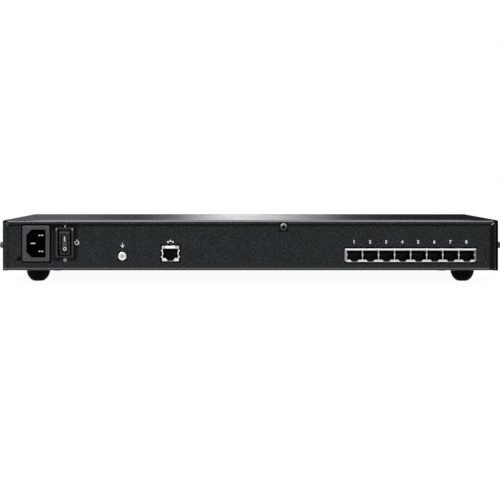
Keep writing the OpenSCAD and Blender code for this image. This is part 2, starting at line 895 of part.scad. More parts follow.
// Earth screw, its clinch nut and the lock nut that holds the lead's ring
module earth_screw() {
  color(bright_metal) on_feet() translate([earth_x, panel_y, earth_z]) rotate([90, 0, 0])
    pan_screw(earth_head_d, earth_head_h, earth_shank_d, sheet_t + 2*earth_nut_h + ring_t + 1);
}

module earth_nuts() {
  color(bright_metal) on_feet() for (y = [panel_in + earth_nut_h, panel_in + 2*earth_nut_h + ring_t])
    translate([earth_x, y, earth_z]) rotate([90, 0, 0])
      hex_nut(earth_nut_flats, earth_nut_h, earth_shank_d + 2*screw_slack);
}

// Sockets: a folded shield with a bevelled face, a moulded insert and sprung contacts
module shield_mouth(h, steps, tapered) {
  difference() {
    socket_mouth(window_w, h, steps, tapered);
    for (s = [-1, 1]) translate([s*window_w/2, bulge_z])
      polygon([[-bulge_w, 0], [0, bulge_h/2], [bulge_w, 0], [0, -bulge_h/2]]);
  }
}

module bevelled_box(w, h, side_bevel) {
  plan = [[-w/2, bevel_depth], [-w/2 + side_bevel, 0], [w/2 - side_bevel, 0], [w/2, bevel_depth],
    [w/2, socket_l], [-w/2, socket_l]];
  rise = [[0, foot_bevel], [foot_bevel, 0], [socket_l, 0], [socket_l, h], [bevel_depth, h],
    [0, h - top_bevel]];
  translate([0, socket_face, 0]) intersection() {
    linear_extrude(h) polygon(plan);
    along_x(-w/2) linear_extrude(w) polygon(rise);
  }
}

module shield_hollow(w, h) {
  block([-w/2 + shield_t, face_in, -1],
    [w/2 - shield_t, socket_face + socket_l - shield_t, h - shield_t]);
}

module lan_shield() {
  mouth_up = lan_mouth_z - lan_z;
  color(bright_metal) on_feet() translate([lan_x, 0, lan_z]) difference() {
    union() {
      intersection() {
        bevelled_box(lan_w, lan_h, lan_bevel);
        facing_rear(socket_face + socket_l) linear_extrude(socket_l) translate([0, lan_h/2])
          rounded(lan_w, lan_h, lan_r);
      }
      for (x = [-1, 1]) translate([x*finger_pitch/2, 0, lan_h - finger_r + finger_out]) spring_finger();
      for (x = [-1, 1], z = [-1, 1])
        translate([x*(lan_w/2 - finger_r + finger_out), 0, lan_h/2 + z*finger_pitch/2]) spring_finger();
    }
    shield_hollow(lan_w, lan_h);
    facing_rear(face_in + 1) linear_extrude(socket_depth) translate([0, mouth_up])
      shield_mouth(lan_h - lan_strip - mouth_up, lan_steps, false);
  }
}

module spring_finger() {
  translate([0, socket_face + finger_l, 0]) rotate([90, 0, 0])
    cylinder(r = finger_r, h = finger_l - finger_back);
}

module socket_insert(w, h, foot, mouths, mouth_z, steps, tapered) {
  half = w/2 - shield_t - shield_gap;
  back = socket_face + socket_l - shield_t - shield_gap;
  difference() {
    union() {
      block([-half, face_in + shield_gap, 0], [half, back, h - shield_t - shield_gap]);
      block([-half, panel_in + cut_gap, -foot], [half, back, 1]);
    }
    for (x = mouths) facing_rear(socket_face + socket_depth) linear_extrude(socket_depth)
      translate([x, mouth_z]) socket_mouth(socket_w, socket_h, steps, tapered);
  }
}

// Contacts lie along the roof of a socket and slope down into it
module socket_contacts(mouth_z) {
  top = mouth_z + socket_h;
  y0 = socket_face + contact_front;
  y1 = y0 + contact_fold;
  y2 = y1 + contact_run;
  for (i = [0 : contact_count - 1])
    along_x((i - (contact_count - 1)/2)*contact_pitch - contact_w/2) linear_extrude(contact_w)
      polygon([[y0, top], [y0, top - contact_t], [y1, top - contact_t], [y2, top - contact_drop],
      [y2, top - contact_drop + contact_t], [y1 + contact_t, top]]);
}

module lan_insert() {
  color(black_plastic) on_feet() translate([lan_x, 0, lan_z])
    socket_insert(lan_w, lan_h, lan_z - board_top, [0], lan_mouth_z - lan_z, lan_steps, false);
}

module lan_contacts() {
  color(gold) on_feet() translate([lan_x, 0, 0]) socket_contacts(lan_mouth_z);
}

// The shield of the block has spring fingers on top and a small lip under each latch notch
module port_shield() {
  mouth_up = block_mouth_z - block_z;
  color(bright_metal) on_feet() translate([block_x, 0, block_z]) union() {
    difference() {
      union() {
        bevelled_box(block_w, block_h, block_bevel);
        for (n = [1 : port_count - 1])
          translate([(n - port_count/2)*port_pitch, 0, block_h - finger_r + block_finger_out])
            spring_finger();
      }
      shield_hollow(block_w, block_h);
      for (n = [1 : port_count]) facing_rear(face_in + 1) linear_extrude(socket_depth)
        translate([port_x(n) - block_x, mouth_up])
          shield_mouth(block_h - block_strip - mouth_up, block_notch, true);
    }
    for (n = [1 : port_count]) translate([port_x(n) - block_x, socket_face, 0])
      block([-latch_lip_w/2, lip_back, -lip_drop], [latch_lip_w/2, face_in - socket_face, lip_rise]);
  }
}

module port_insert() {
  color(black_plastic) on_feet() translate([block_x, 0, block_z])
    socket_insert(block_w, block_h, block_z - board_top,
      [for (n = [1 : port_count]) port_x(n) - block_x], block_mouth_z - block_z, block_notch, true);
}

module port_contacts() {
  color(gold) on_feet() for (n = [1 : port_count]) translate([port_x(n), 0, 0])
    socket_contacts(block_mouth_z);
}

// Boards and what stands on them
module main_board() {
  color(board_green) on_feet() difference() {
    block([main_x0, main_y0, board_z], [main_x1, main_y0 + main_d, board_top]);
    at_board_holes() through_hole(screw_d + 2*screw_slack, board_hole_l);
  }
}

module psu_board() {
  color(board_green) on_feet() difference() {
    translate(psu_at) cube([psu_w, psu_d, board_t]);
    at_board_holes() through_hole(screw_d + 2*screw_slack, board_hole_l);
  }
}

module board_standoffs() {
  color(bright_metal) on_feet() at_board_holes() difference() {
    union() {
      cylinder(d = standoff_spigot_d, h = sheet_t);
      translate([0, 0, sheet_t]) cylinder(d = standoff_d, h = standoff_h);
    }
    through_hole(screw_d + 2*screw_slack, board_hole_l);
  }
}

module board_screws() {
  color(bright_metal) on_feet() {
    at_board_holes() translate([0, 0, board_top])
      pan_screw(screw_head_d, screw_head_h, screw_d, board_t + standoff_h - 1);
    at_front_board_holes()
      pan_screw(screw_head_d, screw_head_h, screw_d, board_t + front_screw_l);
  }
}

module chip(w, l, h) {
  lean = 0.15;
  intersection() {
    along_x(-w/2) linear_extrude(w)
      polygon([[-l/2, 0], [l/2, 0], [l/2 - lean*h, h], [-l/2 + lean*h, h]]);
    facing_rear(l/2) linear_extrude(l)
      polygon([[-w/2, 0], [w/2, 0], [w/2 - lean*h, h], [-w/2 + lean*h, h]]);
  }
}

module processor() {
  color(black_plastic) on_feet() translate([cpu_x, cpu_y, board_top]) chip(cpu_w, cpu_w, cpu_h);
}

module processor_heat_sink() {
  step = (sink_w - fin_t)/(sink_fins - 1);
  color(dark_metal) on_feet() translate([cpu_x, cpu_y, board_top + cpu_h]) union() {
    translate([-sink_w/2, -sink_w/2, 0]) cube([sink_w, sink_w, sink_base]);
    for (i = [0 : sink_fins - 1]) translate([-sink_w/2 + i*step, -sink_w/2, 0])
      cube([fin_t, sink_w, sink_h]);
  }
}

module port_chips() {
  color(black_plastic) on_feet() for (n = [1 : port_count])
    translate([port_x(n), port_chip_y, board_top]) chip(chip_w, chip_l, chip_h);
}

// Capacitor can with a rolled groove near its foot and a round shoulder
module can(d, h) {
  shoulder = 1;
  groove = 0.6;
  rotate_extrude() difference() {
    union() {
      square([d/2 - shoulder, h]);
      square([d/2, h - shoulder]);
      translate([d/2 - shoulder, h - shoulder]) circle(shoulder);
    }
    translate([d/2 + groove/3, 3*groove]) circle(groove);
  }
}

module board_capacitors() {
  color(dark_metal) on_feet() for (x = can_xs, y = can_ys)
    translate([main_x0 + x, main_y0 + y, board_top]) can(can_d, can_h);
}

// Open header for a plug of length l along X and width w along Y
module header(l, w) {
  rim = plug_wall + plug_gap;
  difference() {
    block([-l/2 - rim, -w/2 - rim, 0], [l/2 + rim, w/2 + rim, header_h]);
    block([-l/2 - plug_gap, -w/2 - plug_gap, header_floor],
      [l/2 + plug_gap, w/2 + plug_gap, header_h + 1]);
  }
}

module plug(l, w) {
  block([-l/2, -w/2, header_floor], [l/2, w/2, header_floor + plug_h]);
}

module at_front_header() {
  translate([ribbon_x, front_board_y - board_t, ribbon_z]) rotate([90, 0, 0]) children();
}

module pin_headers() {
  color(grey_plastic) on_feet() {
    translate(mains_plug) header(plug_l, plug_w);
    translate(psu_plug) rotate(90) header(plug_l, plug_w);
    translate(main_plug) rotate(90) header(plug_l, plug_w);
    translate([ribbon_x, ribbon_y, board_top]) header(ribbon_w + 2, plug_w);
    at_front_header() header(ribbon_w + 2, plug_w);
  }
}

// Ribbon cable with a plug at each end, bent once from upright to level
module ribbon_cable() {
  z0 = board_top + header_floor + plug_h;
  y1 = front_board_y - board_t - header_floor - plug_h;
  color(grey_plastic) on_feet() {
    translate([ribbon_x, ribbon_y, board_top]) plug(ribbon_w + 2, plug_w);
    at_front_header() plug(ribbon_w + 2, plug_w);
    along_x(ribbon_x - ribbon_w/2) linear_extrude(ribbon_w) union() {
      translate([ribbon_y - ribbon_t/2, z0]) square([ribbon_t, ribbon_z - ribbon_bend - z0]);
      translate([ribbon_y + ribbon_bend, ribbon_z - ribbon_t/2])
        square([y1 - ribbon_y - ribbon_bend, ribbon_t]);
      translate([ribbon_y + ribbon_bend, ribbon_z - ribbon_bend]) intersection() {
        difference() {
          circle(ribbon_bend + ribbon_t/2);
          circle(ribbon_bend - ribbon_t/2);
        }
        translate([-2*ribbon_bend, 0]) square(2*ribbon_bend);
      }
    }
  }
}

// Power supply parts, placed from the rear left corner of its board
module on_psu(at) {
  translate([psu_at.x + at.x, psu_at.y + at.y, board_top]) children();
}

module psu_transformer() {
  core = [32, 14, 24];
  leg = 7;
  window = [6.5, 16];
  clear = 0.2;
  winding = [2*window.x + leg - 2*clear, 26];
  color(dark_metal) on_feet() on_psu(transformer_at) {
    facing_rear(core.y/2) linear_extrude(core.y) difference() {
      translate([-core.x/2, 0]) square([core.x, core.z]);
      for (s = [-1, 1]) translate([s*(leg + window.x)/2, core.z/2]) square(window, center = true);
    }
    translate([0, 0, core.z/2 - window.y/2 + clear]) linear_extrude(window.y - 2*clear) difference() {
      rounded(winding.x, winding.y, 4);
      square([leg + 2*clear, core.y + 2*clear], center = true);
    }
  }
}

module psu_capacitors() {
  color(dark_metal) on_feet() {
    on_psu(main_can_at) can(main_can_d, main_can_h);
    for (x = out_can_xs, y = out_can_ys) on_psu([x, y]) can(out_can_d, out_can_h);
  }
}

// Finned strip standing on its edge
module strip_sink(l, h) {
  fins = 6;
  fin_l = 5;
  wall = 2;
  linear_extrude(h) union() {
    translate([-l/2, 0]) square([l, wall]);
    for (i = [0 : fins - 1]) translate([-l/2 + i*(l - fin_t)/(fins - 1), 0])
      square([fin_t, wall + fin_l]);
  }
}

module psu_heat_sinks() {
  color(bright_metal) on_feet() {
    on_psu(in_sink_at) strip_sink(in_sink_l, in_sink_h);
    on_psu(out_sink_at) strip_sink(out_sink_l, out_sink_h);
  }
}

// Fuse in its clips, filter capacitor and ring choke
module mains_filter() {
  fuse_l = 20;
  fuse_d = 5.2;
  clip_l = 5;
  fuse_z = 4.4;
  choke_r = 7;
  wire_r = 2.6;
  clip_wall = 0.6;
  clip_slack = 0.1;
  color(grey_plastic) on_feet() {
    on_psu(fuse_at) translate([0, 0, fuse_z]) rotate([0, 90, 0])
      cylinder(d = fuse_d, h = fuse_l, center = true);
    for (s = [-1, 1]) on_psu(fuse_at + [s*(fuse_l - clip_l)/2, 0]) difference() {
      block([-clip_l/2, -fuse_d/2 - clip_wall, 0], [clip_l/2, fuse_d/2 + clip_wall, fuse_z + 1]);
      translate([0, 0, fuse_z]) rotate([0, 90, 0])
        cylinder(d = fuse_d + clip_slack, h = clip_l + 1, center = true);
    }
    on_psu(filter_can_at) linear_extrude(filter_can.z) rounded(filter_can.x, filter_can.y, 1);
    on_psu(choke_at) translate([0, 0, wire_r]) rotate_extrude() translate([choke_r, 0]) circle(wire_r);
  }
}

// Leads: each ends against its connector, and its route is counted from the case's rear left corner
module mains_leads() {
  plug_x = mains_plug.x - corner.x;
  plug_y = mains_plug.y - corner.y;
  near_x = plug_x - mains_plug_pitch/2;
  far_x = plug_x + mains_plug_pitch/2;
  routes = [
    [[live_x, inlet_sleeve_y, inlet_z + pin_z], [live_x, inlet_sleeve_y + 6, inlet_z + pin_z],
      [38, 46, 29.5], [46, 46, 26], [left_x, switch_sleeve_y + 7, mid_z], [left_x, switch_sleeve_y, mid_z]],
    [[live_x, inlet_sleeve_y, inlet_z - pin_z], [live_x, inlet_sleeve_y + 6, inlet_z - pin_z],
      [40, 48, 17], [52, 48, 19.5], [right_x, switch_sleeve_y + 8, mid_z], [right_x, switch_sleeve_y, mid_z]],
    [[left_x, switch_sleeve_y, high_z], [left_x, switch_sleeve_y + 7, high_z], [56, 48, 33],
      [63, 54, 29], [near_x, plug_y, 22], [near_x, plug_y, plug_top]],
    [[right_x, switch_sleeve_y, high_z], [right_x, switch_sleeve_y + 6, high_z], [64, 45, 35],
      [70, 53, 31], [far_x, plug_y, 23], [far_x, plug_y, plug_top]]];
  color(dark_metal) on_feet() {
    translate(mains_plug) plug(plug_l, plug_w);
    translate(corner) for (route = routes) lead(route, lead_d);
  }
}

module earth_lead() {
  ring_y = panel_in + earth_nut_h;
  barrel_l = 6;
  barrel_x = earth_x - earth_ring_d/2 - 1 - barrel_l;
  start_x = inlet_edge + earth_pin_x;
  end = [barrel_x - lead_gap - corner.x, ring_y + ring_t/2 - rear_y, earth_z];
  route = [[start_x, inlet_sleeve_y, inlet_z], [start_x, inlet_sleeve_y + 5, inlet_z], [34, 42, 13],
    [48, 37, 9], [70, 28, 9], [82, 13, 10.5], end - [5, 0, 0], end];
  color([0.35, 0.6, 0.2]) on_feet() {
    translate(corner) lead(route, lead_d);
    difference() {
      union() {
        translate([earth_x, ring_y + ring_t, earth_z]) rotate([90, 0, 0])
          cylinder(d = earth_ring_d, h = ring_t);
        block([barrel_x + barrel_l - 1, ring_y, earth_z - 1.5], [earth_x, ring_y + ring_t, earth_z + 1.5]);
        translate([barrel_x, ring_y + ring_t/2, earth_z]) rotate([0, 90, 0])
          cylinder(d = lead_d + 1, h = barrel_l);
      }
      translate([earth_x, ring_y, earth_z]) rotate([90, 0, 0]) through_hole(earth_shank_d + 2*screw_slack);
    }
  }
}

module dc_leads() {
  x0 = psu_plug.x;
  x1 = main_plug.x;
  bow = 11;
  color([0.7, 0.12, 0.1]) on_feet() {
    translate(psu_plug) rotate(90) plug(plug_l, plug_w);
    translate(main_plug) rotate(90) plug(plug_l, plug_w);
    for (i = [0 : dc_count - 1]) translate([0, psu_plug.y + (i - (dc_count - 1)/2)*dc_pitch, 0])
      lead([[x0, 0, plug_top], [x0, 0, plug_top + bow/2], [x0 + 8, 0, plug_top + bow],
        [x1 - 8, 0, plug_top + bow], [x1, 0, plug_top + bow/2], [x1, 0, plug_top]], dc_lead_d);
  }
}

// Push-on connector over a blade that runs along +Y from the origin
module push_on(w) {
  half_w = w/2 + sleeve_gap;
  half_t = tab_blade_t/2 + sleeve_gap;
  slot_end = tab_blade_l + sleeve_gap;
  difference() {
    block([-half_w - sleeve_wall, sleeve_start, -half_t - sleeve_wall],
      [half_w + sleeve_wall, sleeve_start + sleeve_l + sleeve_end, half_t + sleeve_wall]);
    block([-half_w, 0, -half_t], [half_w, slot_end, half_t]);
  }
}

module push_on_connectors() {
  color(bright_metal) on_feet() {
    for (p = inlet_pin_places) translate([inlet_x + p.x, inlet_rear, inlet_z + p.y])
      push_on(tab_blade_w);
    for (x = [-1, 1], z = terminal_zs)
      translate([switch_x + x*terminal_x, switch_rear, switch_z + z]) push_on(terminal_w);
  }
}

// Front panel, its board, buttons, lamps and console sockets
module front_panel() {
  hollow_w = case_w - 2*panel_wall;
  tongue_w = case_w - 40;
  tongue_top = case_h - sheet_t - sheet_gap;
  color(black_plastic) on_feet() difference() {
    union() {
      difference() {
        translate([0, cover_front_y, 0]) eased_block(case_w, case_h, panel_depth, panel_r);
        block([-hollow_w/2, cover_front_y - 1, panel_wall], [hollow_w/2, panel_in_y, case_h - panel_wall]);
      }
      block([-tongue_w/2, cover_front_y - tongue_l, tongue_top - tongue_t],
        [tongue_w/2, cover_front_y + 2, tongue_top]);
      at_panel_screws() translate([0, 0, -panel_in_y + flange_in - eps])
        cylinder(d = front_boss_d - 0.4, h = panel_in_y - flange_y + eps);
      at_front_board_holes() translate([0, 0, -panel_in_y + front_board_y - board_t - eps])
        cylinder(d = front_boss_d, h = panel_in_y - front_board_y + eps);
    }
    at_panel_screws() translate([0, 0, -panel_depth])
      cylinder(d = screw_d + 2*screw_slack, h = panel_depth);
    at_front_board_holes() translate([0, 0, -board_t - front_screw_l - 1])
      cylinder(d = screw_d + 2*screw_slack, h = front_screw_l + 2);
    facing_rear(front_y + 1) linear_extrude(panel_wall + 1.5) union() {
      for (n = [1 : port_count]) translate([button_x(n), button_z])
        rounded(button_w + 2*button_gap, button_h + 2*button_gap, button_r + button_gap);
      for (x = lamp_xs) translate([x, lamp_z]) circle(d = lamp_d + 2*screw_slack);
      translate([video_x, video_z])
        rounded(video_shell_w + 4*cut_gap, video_shell_h + 4*cut_gap, video_corner + 2*cut_gap);
      for (s = [-1, 1]) translate([video_x + s*jack_pitch/2, video_z])
        circle(d = jack_flats/cos(30) + 2*cut_gap);
      for (x = usb_xs) translate([x, usb_z])
        square([usb_lip_w + 2*cut_gap, usb_lip_h + 2*cut_gap], center = true);
    }
  }
}

module front_board() {
  color(board_green) on_feet() difference() {
    block([-front_board_w/2, front_board_y - board_t, front_board_z0],
      [front_board_w/2, front_board_y, front_board_z1]);
    at_front_board_holes() through_hole(screw_d + 2*screw_slack);
  }
}

module button_switches() {
  face = front_board_y + tact_h;
  color(black_plastic) on_feet() for (n = [1 : port_count])
    translate([button_x(n), 0, button_z]) difference() {
      block([-tact_w/2, front_board_y, -tact_w/2], [tact_w/2, face, tact_w/2]);
      translate([0, face + 1, 0]) rotate([90, 0, 0])
        cylinder(d = button_stem_d + 2*stem_gap, h = tact_hole + 1);
    }
}

module port_button(n) {
  stem_y = front_board_y + tact_h - stem_in;
  flange_face = panel_in_y - button_gap;
  color(grey_plastic) on_feet() translate([button_x(n), 0, button_z]) union() {
    translate([0, flange_face - button_flange, -button_h/2])
      eased_block(button_w, button_h, front_y + button_proud - flange_face + button_flange, button_r);
    facing_rear(flange_face) linear_extrude(button_flange) rounded(button_w + 2, button_h + 2, button_r);
    translate([0, flange_face - button_flange + eps, 0]) rotate([90, 0, 0])
      cylinder(d = button_stem_d, h = flange_face - button_flange - stem_y);
  }
}

module indicator_leds() {
  color([0.85, 0.85, 0.8]) on_feet() for (x = lamp_xs)
    translate([x, front_board_y, lamp_z - led_h/2]) eased_block(led_w, led_h, led_t, 0.2);
}

module light_pipes() {
  color([0.9, 0.92, 0.95]) on_feet() for (x = lamp_xs) translate([x, 0, lamp_z]) union() {
    translate([0, front_y + pipe_proud, 0]) rotate([90, 0, 0])
      cylinder(d = lamp_d, h = front_y + pipe_proud - front_board_y - led_t - pipe_gap);
    translate([0, panel_in_y, 0]) rotate([90, 0, 0]) cylinder(d = pipe_flange_d, h = 1);
  }
}

// Outline of the video socket, wider at the top, with round corners
function arc(c, r, a0, a1, n = 4) = [for (i = [0 : n]) let(a = a0 + (a1 - a0)*i/n) c + r*[cos(a), sin(a)]];
function d_outline(w, h, r) =
  let(lean = 10, top = [w/2 - r, h/2 - r], low = [top.x - (h - 2*r)*tan(lean), -top.y])
  concat(arc(low, r, -90, -lean), arc(top, r, -lean, 90),
    arc([-top.x, top.y], r, 90, 180 + lean), arc([-low.x, low.y], r, 180 + lean, 270));

module video_shell() {
  lip = 2*video_shell_t;
  color(bright_metal) on_feet() translate([video_x, 0, video_z]) difference() {
    union() {
      facing_rear(video_flange_y) linear_extrude(video_flange_t)
        rounded(video_flange_w, video_flange_h, 1);
      facing_rear(front_y + video_proud) linear_extrude(front_y + video_proud - video_flange_y + eps)
        polygon(d_outline(video_shell_w, video_shell_h, video_corner));
    }
    facing_rear(front_y + video_proud + 1) linear_extrude(video_proud + 20)
      polygon(d_outline(video_shell_w - lip, video_shell_h - lip, video_corner - video_shell_t));
    for (s = [-1, 1]) translate([s*jack_pitch/2, video_flange_y, 0]) rotate([90, 0, 0])
      through_hole(jack_shank_d + 2*screw_slack);
  }
}

module video_insert() {
  lip = 2*video_shell_t + 0.1;
  face = front_y + video_proud - 0.6;
  rear = video_flange_y - video_flange_t;
  color([0.1, 0.2, 0.55]) on_feet() translate([video_x, 0, video_z]) difference() {
    union() {
      facing_rear(face) linear_extrude(face - rear + eps)
        polygon(d_outline(video_shell_w - lip, video_shell_h - lip, video_corner - lip/2));
      block([-video_body_w/2, front_board_y, -video_body_h/2], [video_body_w/2, rear, video_body_h/2]);
    }
    for (row = [-1 : 1], i = [-2 : 2])
      translate([(i + (row == 0 ? 0.25 : 0))*video_pin_pitch, face + 1, row*video_row_pitch])
        rotate([90, 0, 0]) cylinder(d = video_pin_d, h = video_pin_depth + 1);
  }
}

module video_jack_screws() {
  color(bright_metal) on_feet() for (s = [-1, 1])
    translate([video_x + s*jack_pitch/2, video_flange_y + jack_l, video_z]) rotate([90, 0, 0]) difference() {
      union() {
        cylinder(d = jack_flats/cos(30), h = jack_l, $fn = 6);
        translate([0, 0, jack_l - eps]) cylinder(d = jack_shank_d, h = jack_shank_l);
      }
      translate([0, 0, -eps]) cylinder(d = jack_bore, h = jack_l - 1);
    }
}

module usb_shells() {
  color(bright_metal) on_feet() for (x = usb_xs) translate([x, 0, usb_z]) difference() {
    union() {
      facing_rear(front_y) linear_extrude(front_y - front_board_y) rounded(usb_w, usb_h, usb_r);
      facing_rear(front_y + usb_wall) linear_extrude(2*usb_wall) rounded(usb_lip_w, usb_lip_h, usb_r);
    }
    facing_rear(front_y + 1) linear_extrude(front_y - front_board_y + 2)
      square([usb_w - 2*usb_wall, usb_h - 2*usb_wall], center = true);
  }
}

module usb_tongues() {
  inner = [usb_w - 2*usb_wall - 0.1, usb_h - 2*usb_wall - 0.1];
  color([0.9, 0.9, 0.88]) on_feet() for (x = usb_xs) translate([x, 0, usb_z]) union() {
    block([-inner.x/2, front_board_y, -inner.y/2], [inner.x/2, front_board_y + usb_back, inner.y/2]);
    block([-usb_tongue_w/2, front_board_y, usb_tongue_z],
      [usb_tongue_w/2, front_y - 1, usb_tongue_z + usb_tongue_t]);
  }
}

chassis_tray();
top_cover();
front_panel();
cover_side_screws();
cover_rear_screw();
front_panel_screws();
rubber_feet();
foot_screws();
rack_ear_nuts();
mains_inlet();
inlet_pins();
inlet_screws();
inlet_nuts();
switch_housing();
power_rocker();
switch_terminals();
earth_screw();
earth_nuts();
lan_shield();
lan_insert();
lan_contacts();
port_shield();
port_insert();
port_contacts();
main_board();
board_standoffs();
board_screws();
processor();
processor_heat_sink();
port_chips();
board_capacitors();
pin_headers();
psu_board();
psu_transformer();
psu_capacitors();
psu_heat_sinks();
mains_filter();
mains_leads();
earth_lead();
dc_leads();
push_on_connectors();
ribbon_cable();
front_board();
button_switches();
port_button(1);  // port_button_1
port_button(2);  // port_button_2
port_button(3);  // port_button_3
port_button(4);  // port_button_4
port_button(5);  // port_button_5
port_button(6);  // port_button_6
port_button(7);  // port_button_7
port_button(8);  // port_button_8
indicator_leds();
light_pipes();
video_shell();
video_insert();
video_jack_screws();
usb_shells();
usb_tongues();
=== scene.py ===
import json
import math

import bmesh
import bpy
from mathutils import Matrix, Vector


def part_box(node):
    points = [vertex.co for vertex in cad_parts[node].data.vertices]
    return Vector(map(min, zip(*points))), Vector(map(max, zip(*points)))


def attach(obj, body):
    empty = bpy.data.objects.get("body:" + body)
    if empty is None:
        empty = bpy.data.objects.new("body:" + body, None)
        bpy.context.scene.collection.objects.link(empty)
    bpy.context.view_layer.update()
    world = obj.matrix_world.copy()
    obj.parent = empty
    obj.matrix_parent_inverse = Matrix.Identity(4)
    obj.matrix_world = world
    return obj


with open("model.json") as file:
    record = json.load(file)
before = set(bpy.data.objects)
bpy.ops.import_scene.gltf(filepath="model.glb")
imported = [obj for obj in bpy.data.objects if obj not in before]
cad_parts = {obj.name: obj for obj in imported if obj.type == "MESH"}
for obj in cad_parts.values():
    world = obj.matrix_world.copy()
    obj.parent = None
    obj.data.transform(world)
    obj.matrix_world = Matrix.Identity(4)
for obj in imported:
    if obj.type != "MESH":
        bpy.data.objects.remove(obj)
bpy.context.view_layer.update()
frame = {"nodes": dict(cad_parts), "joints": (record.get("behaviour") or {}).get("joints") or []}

# Tray and cover: folded steel sheet, screwed together and finished in a near black powder coat.
# The coat is fine and sandy, a little paler on its peaks, and has painted highlights on its rear folds and
# mitres.
# Painted shade darkens it under the lip, at the lip's corners, at the right end and round what stands out of
# the panel.
MM = 0.001


def add_node(tree, kind, settings=None, **links):
    # A link is called by its socket's name, or by i and the socket's number where names repeat.
    node = tree.nodes.new(kind)
    for key, value in (settings or {}).items():
        setattr(node, key, value)
    for key, value in links.items():
        numbered = key[0] == "i" and key[1:].isdigit()
        socket = node.inputs[int(key[1:]) if numbered else key]
        if isinstance(value, bpy.types.NodeSocket):
            tree.links.new(value, socket)
        else:
            socket.default_value = value
    return node


def math_node(tree, operation, a, b=0.0, clamp=False):
    settings = {"operation": operation, "use_clamp": clamp}
    return add_node(tree, "ShaderNodeMath", settings, i0=a, i1=b).outputs[0]


def ramp(tree, value, start, end, low=0.0, high=1.0):
    return add_node(tree, "ShaderNodeMapRange", Value=value, i1=start, i2=end, i3=low, i4=high).outputs[0]


def mix_colour(tree, share, colour, other):
    return add_node(tree, "ShaderNodeMix", {"data_type": "RGBA"}, i0=share, i6=colour, i7=other).outputs[2]


def make_surface_grain():
    group = bpy.data.node_groups.new("surface_grain", "ShaderNodeTree")
    for label, kind, value in (
            ("Colour", "NodeSocketColor", (0.5, 0.5, 0.5, 1)),
            ("Fleck", "NodeSocketColor", (0.6, 0.6, 0.6, 1)),
            ("Fleck Amount", "NodeSocketFloat", 0.5),
            ("Grain Size", "NodeSocketFloat", 0.5 * MM),
            ("Stretch", "NodeSocketVector", (1, 1, 1)),
            ("Roughness", "NodeSocketFloat", 0.5),
            ("Roughness Spread", "NodeSocketFloat", 0.1),
            ("Bump", "NodeSocketFloat", 0.01 * MM),
            ("Edge Radius", "NodeSocketFloat", 0.2 * MM)):
        socket = group.interface.new_socket(label, in_out="INPUT", socket_type=kind)
        socket.default_value = value
    for label, kind in (
            ("Colour", "NodeSocketColor"), ("Roughness", "NodeSocketFloat"), ("Normal", "NodeSocketVector")):
        group.interface.new_socket(label, in_out="OUTPUT", socket_type=kind)
    given = group.nodes.new("NodeGroupInput").outputs
    out = group.nodes.new("NodeGroupOutput").inputs
    place = add_node(group, "ShaderNodeTexCoord").outputs["Object"]
    stretched = add_node(group, "ShaderNodeMapping", Vector=place, Scale=given["Stretch"]).outputs[0]
    count = math_node(group, "DIVIDE", 1.0, given["Grain Size"])
    scaling = {"operation": "SCALE"}
    grains = add_node(group, "ShaderNodeVectorMath", scaling, i0=stretched, Scale=count).outputs[0]
    fine = add_node(group, "ShaderNodeTexNoise", Vector=grains, Scale=1.0, Detail=3.0).outputs["Fac"]
    broad = add_node(group, "ShaderNodeTexNoise", Vector=grains, Scale=0.06, Detail=2.0).outputs["Fac"]
    smooth = {"interpolation_type": "SMOOTHSTEP"}
    peaks = add_node(group, "ShaderNodeMapRange", smooth, Value=fine, i1=0.42, i2=0.68).outputs[0]
    clouds = ramp(group, broad, 0.3, 0.7, low=0.75, high=1.15)
    amount = math_node(group, "MULTIPLY", peaks, given["Fleck Amount"])
    amount = math_node(group, "MULTIPLY", amount, clouds, clamp=True)
    centred = math_node(group, "SUBTRACT", math_node(group, "ADD", fine, broad), 1.0)
    spread = math_node(group, "MULTIPLY", centred, given["Roughness Spread"])
    eased = add_node(group, "ShaderNodeBevel", {"samples": 4}, Radius=given["Edge Radius"]).outputs[0]
    height = math_node(group, "MULTIPLY", fine, given["Bump"])
    bumped = add_node(group, "ShaderNodeBump", Strength=1.0, Distance=1.0, Height=height, Normal=eased)
    group.links.new(mix_colour(group, amount, given["Colour"], given["Fleck"]), out["Colour"])
    group.links.new(math_node(group, "ADD", given["Roughness"], spread, clamp=True), out["Roughness"])
    group.links.new(bumped.outputs[0], out["Normal"])
    return group


surface_grain = make_surface_grain()


def new_material(name, grain, metallic=0.0, specular=0.5):
    material = bpy.data.materials.new(name)
    material.use_nodes = True
    tree = material.node_tree
    shader = tree.nodes["Principled BSDF"]
    shader.inputs["Metallic"].default_value = metallic
    shader.inputs["Specular IOR Level"].default_value = specular
    texture = tree.nodes.new("ShaderNodeGroup")
    texture.node_tree = surface_grain
    for label, value in grain.items():
        texture.inputs[label].default_value = value
    tree.links.new(texture.outputs["Colour"], shader.inputs["Base Color"])
    tree.links.new(texture.outputs["Roughness"], shader.inputs["Roughness"])
    tree.links.new(texture.outputs["Normal"], shader.inputs["Normal"])
    return material


def coat(material, *nodes):
    for node in nodes:
        slots = frame["nodes"][node].data.materials
        slots.clear()
        slots.append(material)


def grey(level):
    return (level, level, level, 1)


def tint_base(material, mask, colour):
    tree = material.node_tree
    base = tree.nodes["Principled BSDF"].inputs["Base Color"]
    tree.links.new(mix_colour(tree, mask, base.links[0].from_socket, colour), base)


def dull(material, mask, amount=0.95):
    # A near black base that counts as metal reflects next to nothing, so this takes the gloss away.
    tree = material.node_tree
    metal = tree.nodes["Principled BSDF"].inputs["Metallic"]
    before = metal.links[0].from_socket if metal.links else metal.default_value
    share = math_node(tree, "MULTIPLY", mask, amount)
    tree.links.new(add_node(tree, "ShaderNodeMix", i0=share, i2=before, i3=1.0).outputs[0], metal)


def object_axes(tree):
    place = add_node(tree, "ShaderNodeTexCoord").outputs["Object"]
    return add_node(tree, "ShaderNodeSeparateXYZ", i0=place).outputs


